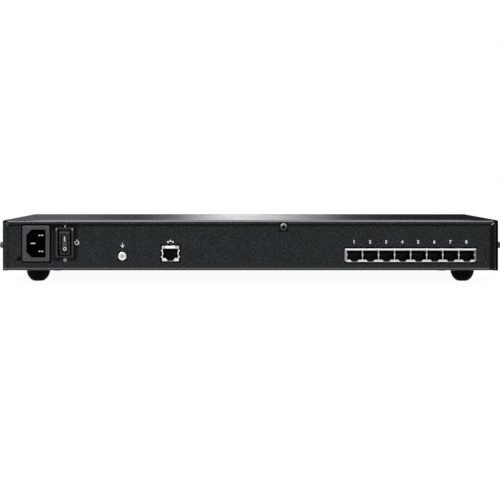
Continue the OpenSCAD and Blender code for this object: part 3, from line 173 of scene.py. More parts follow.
def all_of(tree, mask, *others):
    for other in others:
        mask = math_node(tree, "MINIMUM", mask, other)
    return mask


def any_of(tree, mask, *others):
    for other in others:
        mask = math_node(tree, "MAXIMUM", mask, other)
    return mask


def band(tree, value, low, high, soft):
    return all_of(tree, ramp(tree, value, low - soft, low), ramp(tree, value, high + soft, high))


def flat_length(tree, x, z):
    across = add_node(tree, "ShaderNodeCombineXYZ", X=x, Z=z).outputs[0]
    return add_node(tree, "ShaderNodeVectorMath", {"operation": "LENGTH"}, i0=across).outputs["Value"]


def middle(node):
    low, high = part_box(node)
    return (low + high) / 2


tray_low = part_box("chassis_tray")[0]
cover_low, cover_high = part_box("top_cover")
PANEL_FACE = tray_low.y
LIP_FACE = cover_low.y
LIP_W = 4.4 * MM
LIP_EDGE_Z = cover_high.z - LIP_W
LIP_END_X = cover_high.x - LIP_W
TOP_FOLD_HIGHLIGHT = (0.25, 0.26, 0.265, 1)
FOOT_FOLD_HIGHLIGHT = (0.12, 0.13, 0.135, 1)
UNDER_LIP_SHADE = (0.001, 0.0013, 0.0016, 1)
powder_coat = new_material("powder_coat", {
    "Colour": (0.002, 0.0042, 0.0055, 1), "Fleck": (0.0385, 0.0465, 0.0525, 1), "Fleck Amount": 0.8,
    "Grain Size": 0.97 * MM, "Roughness": 0.33, "Roughness Spread": 0.15, "Bump": 0.02 * MM,
    "Edge Radius": 0.25 * MM,
}, specular=0.22)


def on_rear(tree, axes):
    return ramp(tree, axes["Y"], PANEL_FACE + 1.8 * MM, PANEL_FACE + 0.8 * MM)


# Painted highlight: the fold at the top of the rear lip is painted pale, short of the lip's ends.
def thin_top_folds(material):
    tree = material.node_tree
    axes = object_axes(tree)
    facing = add_node(tree, "ShaderNodeNewGeometry").outputs["True Normal"]
    facing = add_node(tree, "ShaderNodeVectorMath", {"operation": "ABSOLUTE"}, i0=facing).outputs[0]
    sides = add_node(tree, "ShaderNodeSeparateXYZ", i0=facing).outputs
    turned_back = ramp(tree, sides["Y"], 0.1, 0.4)
    turned_up = ramp(tree, sides["Z"], 0.05, 0.3)
    near_top = ramp(tree, axes["Z"], cover_high.z - 14.5 * MM, cover_high.z - 9.5 * MM)
    from_end = math_node(tree, "SUBTRACT", LIP_END_X, math_node(tree, "ABSOLUTE", axes["X"]))
    short_of_end = ramp(tree, from_end, 0.0, 0.6 * MM)
    long_middle = ramp(tree, from_end, 15 * MM, 30 * MM)
    lower_half = ramp(tree, sides["Y"], 0.7, 0.85)
    fold = all_of(tree, turned_back, turned_up, near_top, short_of_end, any_of(tree, long_middle, lower_half))
    tint_base(material, fold, TOP_FOLD_HIGHLIGHT)


# Painted shade: the upper corners of the rear lip are darkened and lose some gloss.
def shade_corners(material):
    tree = material.node_tree
    axes = object_axes(tree)
    past_end = ramp(tree, math_node(tree, "ABSOLUTE", axes["X"]), LIP_END_X, LIP_END_X + 0.6 * MM)
    on_fold = ramp(tree, axes["Z"], cover_high.z - 2.6 * MM, cover_high.z - 2.2 * MM)
    corner = all_of(tree, past_end, on_fold, on_rear(tree, axes))
    tint_base(material, corner, grey(0.003))
    dull(material, corner, amount=0.6)


# Painted highlight: a pale band along the fold at the foot of the rear panel.
def thin_foot_fold(material):
    tree = material.node_tree
    axes = object_axes(tree)
    fold = band(tree, axes["Z"], tray_low.z + 1.3 * MM, tray_low.z + 2.1 * MM, 0.4 * MM)
    tint_base(material, all_of(tree, fold, on_rear(tree, axes)), FOOT_FOLD_HIGHLIGHT)


# Painted shadow: a near black line with less gloss along the lower edge of the cover's rear lip.
def shade_under_lip(material):
    tree = material.node_tree
    axes = object_axes(tree)
    edge = band(tree, axes["Z"], LIP_EDGE_Z - 0.75 * MM, LIP_EDGE_Z + 0.7 * MM, 0.25 * MM)
    run = band(tree, axes["X"], -LIP_END_X, LIP_END_X, 1 * MM)
    line = all_of(tree, edge, run, on_rear(tree, axes))
    tint_base(material, line, UNDER_LIP_SHADE)
    dull(material, line, amount=0.4)


# Painted shade: a dark strip on the panel near its right end, below the lip, and a near black fold at the
# very end, both with less gloss.
def shade_right_end(material):
    tree = material.node_tree
    axes = object_axes(tree)
    inward = math_node(tree, "SUBTRACT", cover_high.x, axes["X"])
    rear = on_rear(tree, axes)
    below_lip = ramp(tree, axes["Z"], LIP_EDGE_Z + 0.3 * MM, LIP_EDGE_Z - 0.3 * MM)
    strip = all_of(tree, band(tree, inward, 3.7 * MM, 7.4 * MM, 0.5 * MM), below_lip, rear)
    tint_base(material, strip, grey(0.005))
    dull(material, strip, amount=0.55)
    fold = all_of(tree, ramp(tree, inward, 2.5 * MM, 2.2 * MM), rear)
    tint_base(material, fold, grey(0.0005))
    dull(material, fold)


# Painted highlight: a pale stroke along the mitre of the rear lip at one end, for the glint on its cut edge.
def bare_mitre(material, side, shift, level):
    tree = material.node_tree
    axes = object_axes(tree)
    down = math_node(tree, "SUBTRACT", cover_high.z, axes["Z"])
    inward = math_node(tree, "SUBTRACT", cover_high.x, math_node(tree, "MULTIPLY", axes["X"], side))
    off_line = math_node(tree, "SUBTRACT", math_node(tree, "SUBTRACT", inward, down), shift)
    stroke = band(tree, off_line, -0.4 * MM, 0.4 * MM, 0.25 * MM)
    below_fold = band(tree, down, 2.7 * MM, 4.6 * MM, 0.3 * MM)
    on_lip = ramp(tree, axes["Y"], LIP_FACE + 0.7 * MM, LIP_FACE + 0.4 * MM)
    tint_base(material, all_of(tree, stroke, below_fold, on_lip), grey(level))


# Painted shade: the panel is darkened and loses its gloss close round a piece that stands out of it.
def shade_around(material, low, high, reach, depth):
    tree = material.node_tree
    axes = object_axes(tree)
    outside = {}
    for axis, start, end in (("X", low.x, high.x), ("Z", low.z, high.z)):
        from_middle = math_node(tree, "SUBTRACT", axes[axis], (start + end) / 2)
        past = math_node(tree, "SUBTRACT", math_node(tree, "ABSOLUTE", from_middle), (end - start) / 2)
        outside[axis] = math_node(tree, "MAXIMUM", past)
    near = ramp(tree, flat_length(tree, outside["X"], outside["Z"]), reach, 0.5 * reach)
    shade = math_node(tree, "MULTIPLY", all_of(tree, near, on_rear(tree, axes)), depth)
    tint_base(material, shade, grey(0.001))
    dull(material, shade)


thin_top_folds(powder_coat)
shade_corners(powder_coat)
thin_foot_fold(powder_coat)
shade_under_lip(powder_coat)
shade_right_end(powder_coat)
bare_mitre(powder_coat, side=-1, shift=0.5 * MM, level=0.25)
bare_mitre(powder_coat, side=1, shift=1.6 * MM, level=0.5)
inlet_centre = middle("mains_inlet")
INLET_HALF = Vector((23.6 * MM, 0, 31.1 * MM)) / 2
shade_around(powder_coat, inlet_centre - INLET_HALF, inlet_centre + INLET_HALF, reach=1.9 * MM, depth=1.0)
shade_around(powder_coat, *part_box("switch_housing"), reach=4.4 * MM, depth=0.6)
shade_around(powder_coat, *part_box("lan_shield"), reach=1.1 * MM, depth=0.8)
shade_around(powder_coat, *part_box("port_shield"), reach=1.1 * MM, depth=0.7)
shade_around(powder_coat, *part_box("earth_screw"), reach=0.8 * MM, depth=0.6)
shade_around(powder_coat, *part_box("cover_rear_screw"), reach=1.1 * MM, depth=0.8)
coat(powder_coat, "chassis_tray", "top_cover")

# Screws of the cover: plated steel with a cross recess, painted dark inside as shade.
# Two hold each side of the cover to the tray, and one holds the tab of the rear lip.


def steel_plate(name, level):
    return new_material(name, {
        "Colour": grey(level), "Fleck": grey(level * 1.6), "Fleck Amount": 0.5, "Grain Size": 0.3 * MM,
        "Roughness": 0.38, "Roughness Spread": 0.2, "Bump": 0.01 * MM, "Edge Radius": 0.25 * MM,
    }, metallic=1.0)


# Painted highlight: the upper half of the screw head is painted paler.
def brighten_upper_half(material, screw, level):
    tree = material.node_tree
    centre = middle(screw).z
    upper = ramp(tree, object_axes(tree)["Z"], centre - 0.5 * MM, centre + 2.5 * MM)
    tint_base(material, upper, grey(level))


# Painted shade: the hollow of the cross recess is painted darker.
def darken_recess(material, screw, radius, depth, level):
    tree = material.node_tree
    axes = object_axes(tree)
    centre = middle(screw)
    aside = math_node(tree, "SUBTRACT", axes["X"], centre.x)
    above = math_node(tree, "SUBTRACT", axes["Z"], centre.z)
    inward = math_node(tree, "SUBTRACT", axes["Y"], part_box(screw)[0].y)
    near_axis = ramp(tree, flat_length(tree, aside, above), radius, radius - 0.2 * MM)
    sunk = ramp(tree, inward, depth, depth + 0.1 * MM)
    tint_base(material, all_of(tree, near_axis, sunk), grey(level))


side_screw_plate = steel_plate("side_screw_plate", level=0.08)
coat(side_screw_plate, "cover_side_screws")
rear_screw_plate = steel_plate("rear_screw_plate", level=0.06)
brighten_upper_half(rear_screw_plate, "cover_rear_screw", level=0.36)
darken_recess(rear_screw_plate, "cover_rear_screw", radius=2.0 * MM, depth=0.2 * MM, level=0.001)
coat(rear_screw_plate, "cover_rear_screw")

# Feet: moulded rubber bowls, each held by a zinc plated screw sunk in its underside.
# The same zinc is on the clinch nuts for rack ears, the other nuts and the screws of the boards.
foot_rubber = new_material("foot_rubber", {
    "Colour": grey(0.002), "Fleck": grey(0.006), "Fleck Amount": 0.6, "Grain Size": 0.4 * MM,
    "Roughness": 0.8, "Roughness Spread": 0.2, "Bump": 0.02 * MM, "Edge Radius": 0.5 * MM,
}, specular=0.06)
coat(foot_rubber, "rubber_feet")

zinc_plate = new_material("zinc_plate", {
    "Colour": grey(0.55), "Fleck": (0.66, 0.66, 0.6, 1), "Fleck Amount": 0.7, "Grain Size": 0.5 * MM,
    "Roughness": 0.36, "Roughness Spread": 0.2, "Bump": 0.006 * MM, "Edge Radius": 0.15 * MM,
}, metallic=1.0)
coat(zinc_plate, "foot_screws", "rack_ear_nuts", "inlet_nuts", "earth_nuts")
coat(zinc_plate, "front_panel_screws", "board_screws")

# Mains inlet: one moulding pushed through the panel from inside and held by two screws and nuts.
# Its rim has a satin grain and a painted highlight along its top, and its deep recess is smooth and painted
# black as shade.
# Three nickel plated blades stand in the recess, and a line of painted shade crosses the outer two.
INLET_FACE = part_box("mains_inlet")[0].y
INLET_RIM_TOP = inlet_centre.z + INLET_HALF.z
RIM_TOP_HIGHLIGHT = (0.085, 0.096, 0.1, 1)
inlet_plastic = new_material("inlet_plastic", {
    "Colour": (0.045, 0.051, 0.054, 1), "Fleck": (0.078, 0.086, 0.09, 1), "Fleck Amount": 0.7,
    "Grain Size": 0.5 * MM, "Roughness": 0.5, "Roughness Spread": 0.15, "Bump": 0.012 * MM,
    "Edge Radius": 0.3 * MM,
}, specular=0.4)


# Painted shade: everything behind the inlet's face is painted near black without gloss.
def blacken_recess(material):
    tree = material.node_tree
    inside = ramp(tree, object_axes(tree)["Y"], INLET_FACE + 0.2 * MM, INLET_FACE + 1.0 * MM)
    tint_base(material, inside, grey(0.0005))
    dull(material, inside)


# Painted highlight: a pale band along the top of the inlet's rim.
def lighten_rim_top(material):
    tree = material.node_tree
    axes = object_axes(tree)
    upper = ramp(tree, axes["Z"], INLET_RIM_TOP - 1.6 * MM, INLET_RIM_TOP - 1.0 * MM)
    front = ramp(tree, axes["Y"], INLET_FACE + 1.3 * MM, INLET_FACE + 0.7 * MM)
    tint_base(material, all_of(tree, upper, front), RIM_TOP_HIGHLIGHT)


blacken_recess(inlet_plastic)
lighten_rim_top(inlet_plastic)
coat(inlet_plastic, "mains_inlet")

black_skin = new_material("black_skin", {
    "Colour": grey(0.002), "Fleck": grey(0.005), "Fleck Amount": 0.5, "Grain Size": 0.3 * MM,
    "Roughness": 0.6, "Roughness Spread": 0.15, "Bump": 0.005 * MM, "Edge Radius": 0.2 * MM,
}, specular=0.1)
coat(black_skin, "inlet_screws")

nickel_plate = new_material("nickel_plate", {
    "Colour": (0.68, 0.68, 0.67, 1), "Fleck": (0.78, 0.78, 0.77, 1), "Fleck Amount": 0.6,
    "Grain Size": 0.4 * MM, "Roughness": 0.24, "Roughness Spread": 0.16, "Bump": 0.006 * MM,
    "Edge Radius": 0.2 * MM,
}, metallic=1.0)
coat(nickel_plate, "switch_terminals", "push_on_connectors")


def new_shade_of(material, name):
    shade = material.copy()
    shade.name = name
    return shade


# Painted shade: a dark line across the blades near their ends.
def line_blades(material):
    tree = material.node_tree
    blades_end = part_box("inlet_pins")[1].x
    line = band(tree, object_axes(tree)["X"], blades_end - 3.55 * MM, blades_end - 3.05 * MM, 0.4 * MM)
    tint_base(material, line, grey(0.03))


blade_nickel = new_shade_of(nickel_plate, "blade_nickel")
line_blades(blade_nickel)
coat(blade_nickel, "inlet_pins")

# Earth screw: bright plated brass with a cross recess, clamped to the panel by two nuts.
# Inside the case, the ring of the earth lead is held between those nuts.
earth_plate = new_material("earth_plate", {
    "Colour": (0.92, 0.94, 0.91, 1), "Fleck": (0.96, 0.98, 0.95, 1), "Fleck Amount": 0.6,
    "Grain Size": 0.4 * MM, "Roughness": 0.42, "Roughness Spread": 0.16, "Bump": 0.006 * MM,
    "Edge Radius": 0.2 * MM,
}, metallic=1.0)
# The cross recess is painted darker as shade.
darken_recess(earth_plate, "earth_screw", radius=2.6 * MM, depth=0.5 * MM, level=0.6)
coat(earth_plate, "earth_screw")

# Power switch: a polished black housing snapped into the panel, with a rocker on two trunnions.
# A guard frame stands round the rocker, with painted highlights along its edges and painted glints at its
# upper corners.
# The rocker's long pad carries a white stroke for on and a white ring for off.
switch_low, switch_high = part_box("switch_housing")
FRAME_LEFT_HIGHLIGHT = (0.043, 0.05, 0.055, 1)
FRAME_RIGHT_HIGHLIGHT = (0.024, 0.029, 0.033, 1)
FRAME_CORNER_GLINT = grey(0.36)
switch_plastic = new_material("switch_plastic", {
    "Colour": (0.003, 0.0044, 0.0055, 1), "Fleck": (0.0065, 0.009, 0.0108, 1), "Fleck Amount": 0.7,
    "Grain Size": 0.7 * MM, "Roughness": 0.34, "Roughness Spread": 0.15, "Bump": 0.006 * MM,
    "Edge Radius": 0.3 * MM,
}, specular=0.35)


# Painted highlights: pale strips on the frame's left and right bars, the right one dimmer, and glints at its
# upper corners.
def polish_frame(material, low, high):
    tree = material.node_tree
    axes = object_axes(tree)
    face = ramp(tree, axes["Y"], low.y + 1.2 * MM, low.y + 0.9 * MM)
    left = band(tree, axes["X"], low.x + 0.2 * MM, low.x + 1.0 * MM, 0.2 * MM)
    right = band(tree, axes["X"], high.x - 1.7 * MM, high.x - 0.9 * MM, 0.2 * MM)
    upright = band(tree, axes["Z"], low.z + 1.5 * MM, high.z - 1.5 * MM, 0.5 * MM)
    corner = band(tree, axes["Z"], high.z - 2.3 * MM, high.z - 0.6 * MM, 0.3 * MM)
    tint_base(material, all_of(tree, face, left, upright), FRAME_LEFT_HIGHLIGHT)
    tint_base(material, all_of(tree, face, right, upright), FRAME_RIGHT_HIGHLIGHT)
    tint_base(material, all_of(tree, face, corner, any_of(tree, left, right)), FRAME_CORNER_GLINT)


housing_plastic = new_shade_of(switch_plastic, "housing_plastic")
polish_frame(housing_plastic, switch_low, switch_high)
coat(housing_plastic, "switch_housing")

rocker_joint = next(joint for joint in frame["joints"] if joint["child"] == "power_rocker")
rocker_lean = math.radians(rocker_joint["range_deg"][1] / 2)
rocker_low, rocker_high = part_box("power_rocker")
ROCKER_HALF_W = (rocker_high.x - rocker_low.x) / 2
PAD_R = 2.05 * MM
PAD_HALF_RUN = 5.3 * MM
PAD_DEPTH = 5.1 * MM
GROOVE_R = 3.0 * MM
PAD_COLOUR = (0.075, 0.082, 0.085, 1)
BROW_HIGHLIGHT = (0.072, 0.081, 0.087, 1)


# Painted shade: the groove round the pad is black and the rocker's flanks dark, both without gloss. Painted
# highlight: a pale brow along the rocker's upper end. The pad inside the groove is painted paler.
def shade_rocker(material):
    tree = material.node_tree
    place = add_node(tree, "ShaderNodeTexCoord").outputs["Object"]
    pivot = rocker_joint["pos_m"]
    local = add_node(tree, "ShaderNodeVectorMath", {"operation": "SUBTRACT"}, i0=place, i1=pivot).outputs[0]
    about_x = {"rotation_type": "X_AXIS"}
    local = add_node(tree, "ShaderNodeVectorRotate", about_x, Vector=local, Angle=-rocker_lean).outputs[0]
    axes = add_node(tree, "ShaderNodeSeparateXYZ", i0=local).outputs
    past_run = math_node(tree, "SUBTRACT", math_node(tree, "ABSOLUTE", axes["Z"]), PAD_HALF_RUN)
    reach = flat_length(tree, axes["X"], math_node(tree, "MAXIMUM", past_run))
    face = ramp(tree, axes["Y"], -3.2 * MM, -3.6 * MM)
    groove = all_of(tree, face, ramp(tree, reach, GROOVE_R + 0.1 * MM, GROOVE_R - 0.1 * MM))
    tint_base(material, groove, grey(0.0005))
    dull(material, groove)
    pad = all_of(tree, face, ramp(tree, reach, PAD_R + 0.1 * MM, PAD_R - 0.1 * MM))
    tint_base(material, pad, PAD_COLOUR)
    upper_end = ramp(tree, axes["Z"], 9.5 * MM, 9.7 * MM)
    brow = all_of(tree, upper_end, ramp(tree, axes["Y"], -1.5 * MM, -2.0 * MM))
    tint_base(material, brow, BROW_HIGHLIGHT)
    aside = math_node(tree, "ABSOLUTE", axes["X"])
    flank = ramp(tree, aside, ROCKER_HALF_W - 0.9 * MM, ROCKER_HALF_W - 0.6 * MM)
    tint_base(material, flank, grey(0.002))
    dull(material, flank)


rocker_plastic = new_shade_of(switch_plastic, "rocker_plastic")
shade_rocker(rocker_plastic)
coat(rocker_plastic, "power_rocker")

INK_DEPTH = 0.03 * MM
UPRIGHT = Matrix.Rotation(math.radians(90), 4, "X")
white_ink = new_material("white_ink", {
    "Colour": grey(0.92), "Fleck": grey(0.98), "Fleck Amount": 0.8, "Grain Size": 0.25 * MM,
    "Roughness": 0.55, "Roughness Spread": 0.15, "Bump": 0.006 * MM, "Edge Radius": 0.03 * MM,
}, specular=0.3)


def ink_bar(mesh, x, z, width, height):
    place = Matrix.Translation((x, 0, z)) @ UPRIGHT @ Matrix.Diagonal((width, height, 1, 1))
    bmesh.ops.create_grid(mesh, x_segments=1, y_segments=1, size=0.5, matrix=place)


def ink_ring(mesh, x, z, radius, stroke, sweep=360, steps=32):
    centre = Vector((x, 0, z))
    outward = Matrix.Rotation(math.radians((360 - sweep) / 2), 3, "Y") @ Vector((0, 0, 1))
    ends = [mesh.verts.new(centre + outward * r) for r in (radius - stroke / 2, radius + stroke / 2)]
    bmesh.ops.spin(mesh, geom=ends + [mesh.edges.new(ends)], cent=centre, axis=(0, 1, 0),
                   angle=math.radians(sweep), steps=steps, use_merge=sweep == 360)


def print_piece(name, mesh, body, place):
    bmesh.ops.remove_doubles(mesh, verts=mesh.verts, dist=0.001 * MM)
    for face in mesh.faces:
        face.normal_update()
        if face.normal.y > 0:
            face.normal_flip()
    bmesh.ops.solidify(mesh, geom=mesh.faces, thickness=-INK_DEPTH)
    bmesh.ops.transform(mesh, matrix=place, verts=mesh.verts)
    data = bpy.data.meshes.new(name)
    mesh.to_mesh(data)
    mesh.free()
    data.materials.append(white_ink)
    piece = bpy.data.objects.new(name, data)
    bpy.context.scene.collection.objects.link(piece)
    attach(piece, body)


at_pivot = Matrix.Translation(rocker_joint["pos_m"])
on_pad = at_pivot @ Matrix.Rotation(rocker_lean, 4, "X") @ Matrix.Translation((0, -PAD_DEPTH, 0))
rocker_marks = bmesh.new()
ink_bar(rocker_marks, 0, 4.0 * MM, width=0.65 * MM, height=4.2 * MM)
ink_ring(rocker_marks, 0, -4.8 * MM, radius=1.3 * MM, stroke=0.52 * MM)
print_piece("rocker_marks", rocker_marks, "power_rocker", on_pad)

# Marks printed on the rear panel in white ink: on and off at the switch, a sign for power,
# one for earth over its screw, one for the network over its socket, and the numbers of the ports.
on_panel = Matrix.Translation((0, PANEL_FACE, 0))
switch_centre = middle("switch_housing")
POWER_X = switch_high.x + 2.4 * MM
POWER_STROKE = 0.6 * MM
switch_marks = bmesh.new()
ink_bar(switch_marks, switch_centre.x, switch_high.z + 1.05 * MM, width=0.9 * MM, height=1.8 * MM)
ink_ring(switch_marks, switch_centre.x, switch_low.z - 1.9 * MM, radius=1.1 * MM, stroke=0.45 * MM)
ink_ring(switch_marks, POWER_X, switch_centre.z, radius=1.7 * MM, stroke=POWER_STROKE, sweep=270)
ink_bar(switch_marks, POWER_X, switch_centre.z + 1.5 * MM, width=POWER_STROKE, height=2.2 * MM)
print_piece("switch_marks", switch_marks, "case", on_panel)

EARTH_X = middle("earth_screw").x
EARTH_MARK_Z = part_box("earth_screw")[1].z + 5.5 * MM
EARTH_BAR_PITCH = 0.8 * MM
earth_mark = bmesh.new()
ink_bar(earth_mark, EARTH_X, EARTH_MARK_Z + 1.3 * MM, width=0.5 * MM, height=2.3 * MM)
for row, width in enumerate((3.2 * MM, 2.1 * MM, 1.0 * MM)):
    ink_bar(earth_mark, EARTH_X, EARTH_MARK_Z - row * EARTH_BAR_PITCH, width, height=0.6 * MM)
print_piece("earth_mark", earth_mark, "case", on_panel)

lan_centre = middle("lan_shield")
NETWORK_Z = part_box("lan_shield")[1].z + 3.4 * MM
BRANCH_PITCH = 2.2 * MM
BRANCH_RISE = 0.75 * MM
network_mark = bmesh.new()
ink_bar(network_mark, lan_centre.x, NETWORK_Z, width=5.6 * MM, height=0.5 * MM)
for step, rise in ((-1, -BRANCH_RISE), (0, BRANCH_RISE), (1, -BRANCH_RISE)):
    branch_x = lan_centre.x + step * BRANCH_PITCH
    ink_bar(network_mark, branch_x, NETWORK_Z + rise, width=1.3 * MM, height=1.1 * MM)
print_piece("network_mark", network_mark, "case", on_panel)

PORTS = 8
PORT_PITCH = 13.97 * MM
NUMBER_HEIGHT = 3.1 * MM
NUMBER_BOLDNESS = 0.052
NUMBER_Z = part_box("port_shield")[1].z + 5.25 * MM
FIRST_NUMBER_X = middle("port_shield").x - 0.25 * MM - (PORTS - 1) / 2 * PORT_PITCH


def ink_number(mesh, number, x, z):
    curve = bpy.data.curves.new("number", "FONT")
    curve.body = str(number)
    curve.align_x = "CENTER"
    curve.align_y = "CENTER"
    curve.resolution_u = 4
    curve.offset = NUMBER_BOLDNESS
    writing = bpy.data.objects.new("number", curve)
    bpy.context.scene.collection.objects.link(writing)
    bpy.context.view_layer.update()
    flat = bpy.data.meshes.new_from_object(writing.evaluated_get(bpy.context.evaluated_depsgraph_get()))
    sized = Matrix.Scale(NUMBER_HEIGHT / max(writing.dimensions), 4)
    flat.transform(Matrix.Translation((x, 0, z)) @ UPRIGHT @ sized)
    mesh.from_mesh(flat)
    bpy.data.objects.remove(writing)
    bpy.data.curves.remove(curve)
    bpy.data.meshes.remove(flat)


port_numbers = bmesh.new()
for port in range(PORTS):
    ink_number(port_numbers, port + 1, FIRST_NUMBER_X + port * PORT_PITCH, NUMBER_Z)
print_piece("port_numbers", port_numbers, "case", on_panel)

# Sockets: folded shields of bright tinned sheet round black mouldings with gold plated contacts.
# The shields stand out of the panel a little, and their bevelled rims catch the light.
# Painted shade makes the sheet darker on its side bevels, the right more than the left, along its bottom
# edge, on its latch lips and inside the panel.
tinned_sheet = new_material("tinned_sheet", {
    "Colour": (0.84, 0.85, 0.84, 1), "Fleck": (0.94, 0.95, 0.94, 1), "Fleck Amount": 0.7,
    "Grain Size": 0.6 * MM, "Stretch": (0.25, 1, 1), "Roughness": 0.28, "Roughness Spread": 0.16,
    "Bump": 0.005 * MM, "Edge Radius": 0.12 * MM,
}, metallic=1.0)
coat(tinned_sheet, "video_shell", "usb_shells")
LATCH_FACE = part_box("port_shield")[0].y + 0.4 * MM
LEFT_BEVEL_SHADE = grey(0.4)
RIGHT_BEVEL_SHADE = grey(0.28)
LATCH_LIP_SHADE = grey(0.1)
INSIDE_PANEL_SHADE = grey(0.002)


# Painted shade: darker side bevels, bottom edge and latch lips, and near black, non-metal sheet inside the
# panel.
def shield_sheet(node, rim_top, latch_top):
    sheet = new_shade_of(tinned_sheet, node + "_sheet")
    tree = sheet.node_tree
    axes = object_axes(tree)
    low_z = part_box(node)[0].z
    facing = add_node(tree, "ShaderNodeNewGeometry").outputs["True Normal"]
    aside = add_node(tree, "ShaderNodeSeparateXYZ", i0=facing).outputs["X"]
    tint_base(sheet, ramp(tree, aside, -0.15, -0.3), LEFT_BEVEL_SHADE)
    tint_base(sheet, ramp(tree, aside, 0.15, 0.3), RIGHT_BEVEL_SHADE)
    below_latch = ramp(tree, axes["Z"], low_z + latch_top, low_z + latch_top - 0.1 * MM)
    behind_face = ramp(tree, axes["Y"], LATCH_FACE - 0.15 * MM, LATCH_FACE - 0.05 * MM)
    rim = ramp(tree, axes["Z"], low_z + rim_top, low_z + rim_top - 0.15 * MM)
    tint_base(sheet, any_of(tree, all_of(tree, below_latch, behind_face), rim), LATCH_LIP_SHADE)
    inside = ramp(tree, axes["Y"], PANEL_FACE - 0.1 * MM, PANEL_FACE + 0.2 * MM)
    tint_base(sheet, inside, INSIDE_PANEL_SHADE)
    tree.links.new(ramp(tree, inside, 1.0, 0.0), tree.nodes["Principled BSDF"].inputs["Metallic"])
    coat(sheet, node)
    return sheet


# Painted shade: the outer shoulders of the network shield's upper part are darker.
def shade_shoulders(sheet):
    tree = sheet.node_tree
    axes = object_axes(tree)
    aside = math_node(tree, "ABSOLUTE", math_node(tree, "SUBTRACT", axes["X"], lan_centre.x))
    outer = ramp(tree, aside, 3.6 * MM, 4.6 * MM)
    upper = ramp(tree, axes["Z"], lan_centre.z + 4 * MM, lan_centre.z + 5 * MM)
    tint_base(sheet, all_of(tree, outer, upper), grey(0.42))


# Painted shade: the middle of the port shield's front, with its partitions, is darker.
def shade_partitions(sheet, low, high):
    tree = sheet.node_tree
    axes = object_axes(tree)
    between_ends = band(tree, axes["X"], low.x + 2.5 * MM, high.x - 2.5 * MM, 0.3 * MM)
    upright = band(tree, axes["Z"], low.z + 2.2 * MM, high.z - 2.6 * MM, 0.3 * MM)
    front = ramp(tree, axes["Y"], PANEL_FACE - 0.1 * MM, PANEL_FACE - 0.3 * MM)
    tint_base(sheet, all_of(tree, between_ends, upright, front), grey(0.5))


shade_shoulders(shield_sheet("lan_shield", rim_top=0.55 * MM, latch_top=0.55 * MM))
shade_partitions(shield_sheet("port_shield", rim_top=0.75 * MM, latch_top=1.6 * MM), *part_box("port_shield"))

socket_plastic = new_material("socket_plastic", {
    "Colour": grey(0.0025), "Fleck": grey(0.006), "Fleck Amount": 0.6, "Grain Size": 0.4 * MM,
    "Roughness": 0.5, "Roughness Spread": 0.15, "Bump": 0.008 * MM, "Edge Radius": 0.15 * MM,
}, specular=0.2)
coat(socket_plastic, "lan_insert", "port_insert", "processor", "port_chips", "button_switches")

GOLD_IN_MOUTH_SHADE = (0.03, 0.02, 0.008, 1)
contact_gold = new_material("contact_gold", {
    "Colour": (0.3, 0.19, 0.06, 1), "Fleck": (0.4, 0.27, 0.1, 1), "Fleck Amount": 0.6,
    "Grain Size": 0.3 * MM, "Roughness": 0.25, "Roughness Spread": 0.15, "Bump": 0.004 * MM,
    "Edge Radius": 0.08 * MM,
}, metallic=1.0)


# Painted shade: the contacts are painted dark near their front ends, in the mouths.
def darken_in_mouth(material):
    tree = material.node_tree
    in_mouth = ramp(tree, object_axes(tree)["Y"], PANEL_FACE + 5 * MM, PANEL_FACE + 3 * MM)
    tint_base(material, in_mouth, GOLD_IN_MOUTH_SHADE)


darken_in_mouth(contact_gold)
coat(contact_gold, "lan_contacts", "port_contacts")

# Circuit boards: glass laminate under green solder resist, on nickel plated brass standoffs.
# Paler flecks, drawn out along one direction, show through the resist.
solder_resist = new_material("solder_resist", {
    "Colour": (0.01, 0.075, 0.03, 1), "Fleck": (0.025, 0.15, 0.06, 1), "Fleck Amount": 0.9,
    "Grain Size": 2.2 * MM, "Stretch": (1, 0.2, 1), "Roughness": 0.32, "Roughness Spread": 0.15,
    "Bump": 0.02 * MM, "Edge Radius": 0.1 * MM,
})
coat(solder_resist, "main_board", "psu_board", "front_board")

plated_brass = new_material("plated_brass", {
    "Colour": (0.6, 0.54, 0.4, 1), "Fleck": (0.7, 0.65, 0.52, 1), "Fleck Amount": 0.6,
    "Grain Size": 0.5 * MM, "Roughness": 0.3, "Roughness Spread": 0.15, "Bump": 0.005 * MM,
    "Edge Radius": 0.15 * MM,
}, metallic=1.0)
coat(plated_brass, "board_standoffs")

# Heat sinks: extruded aluminium, black anodised on the processor and plain on the power supply.
# Both keep fine drawing lines along their fins.
black_anodised = new_material("black_anodised", {
    "Colour": grey(0.02), "Fleck": grey(0.05), "Fleck Amount": 0.6, "Grain Size": 0.5 * MM,
    "Stretch": (1, 0.1, 1), "Roughness": 0.45, "Roughness Spread": 0.15, "Bump": 0.01 * MM,
    "Edge Radius": 0.15 * MM,
}, metallic=0.6)
coat(black_anodised, "processor_heat_sink")

drawn_aluminium = new_material("drawn_aluminium", {
    "Colour": grey(0.55), "Fleck": grey(0.68), "Fleck Amount": 0.7, "Grain Size": 0.5 * MM,
    "Stretch": (1, 1, 0.1), "Roughness": 0.35, "Roughness Spread": 0.15, "Bump": 0.01 * MM,
    "Edge Radius": 0.15 * MM,
}, metallic=1.0)
coat(drawn_aluminium, "psu_heat_sinks")

# Parts on the boards: sleeved capacitor cans, a ferrite transformer, pale mouldings and headers.
# The sleeves and mouldings have a soft sheen, and the ferrite is dull.
can_sleeve = new_material("can_sleeve", {
    "Colour": (0.012, 0.014, 0.03, 1), "Fleck": (0.03, 0.034, 0.06, 1), "Fleck Amount": 0.5,
    "Grain Size": 0.8 * MM, "Roughness": 0.32, "Roughness Spread": 0.15, "Bump": 0.006 * MM,
    "Edge Radius": 0.2 * MM,
})
coat(can_sleeve, "board_capacitors", "psu_capacitors")

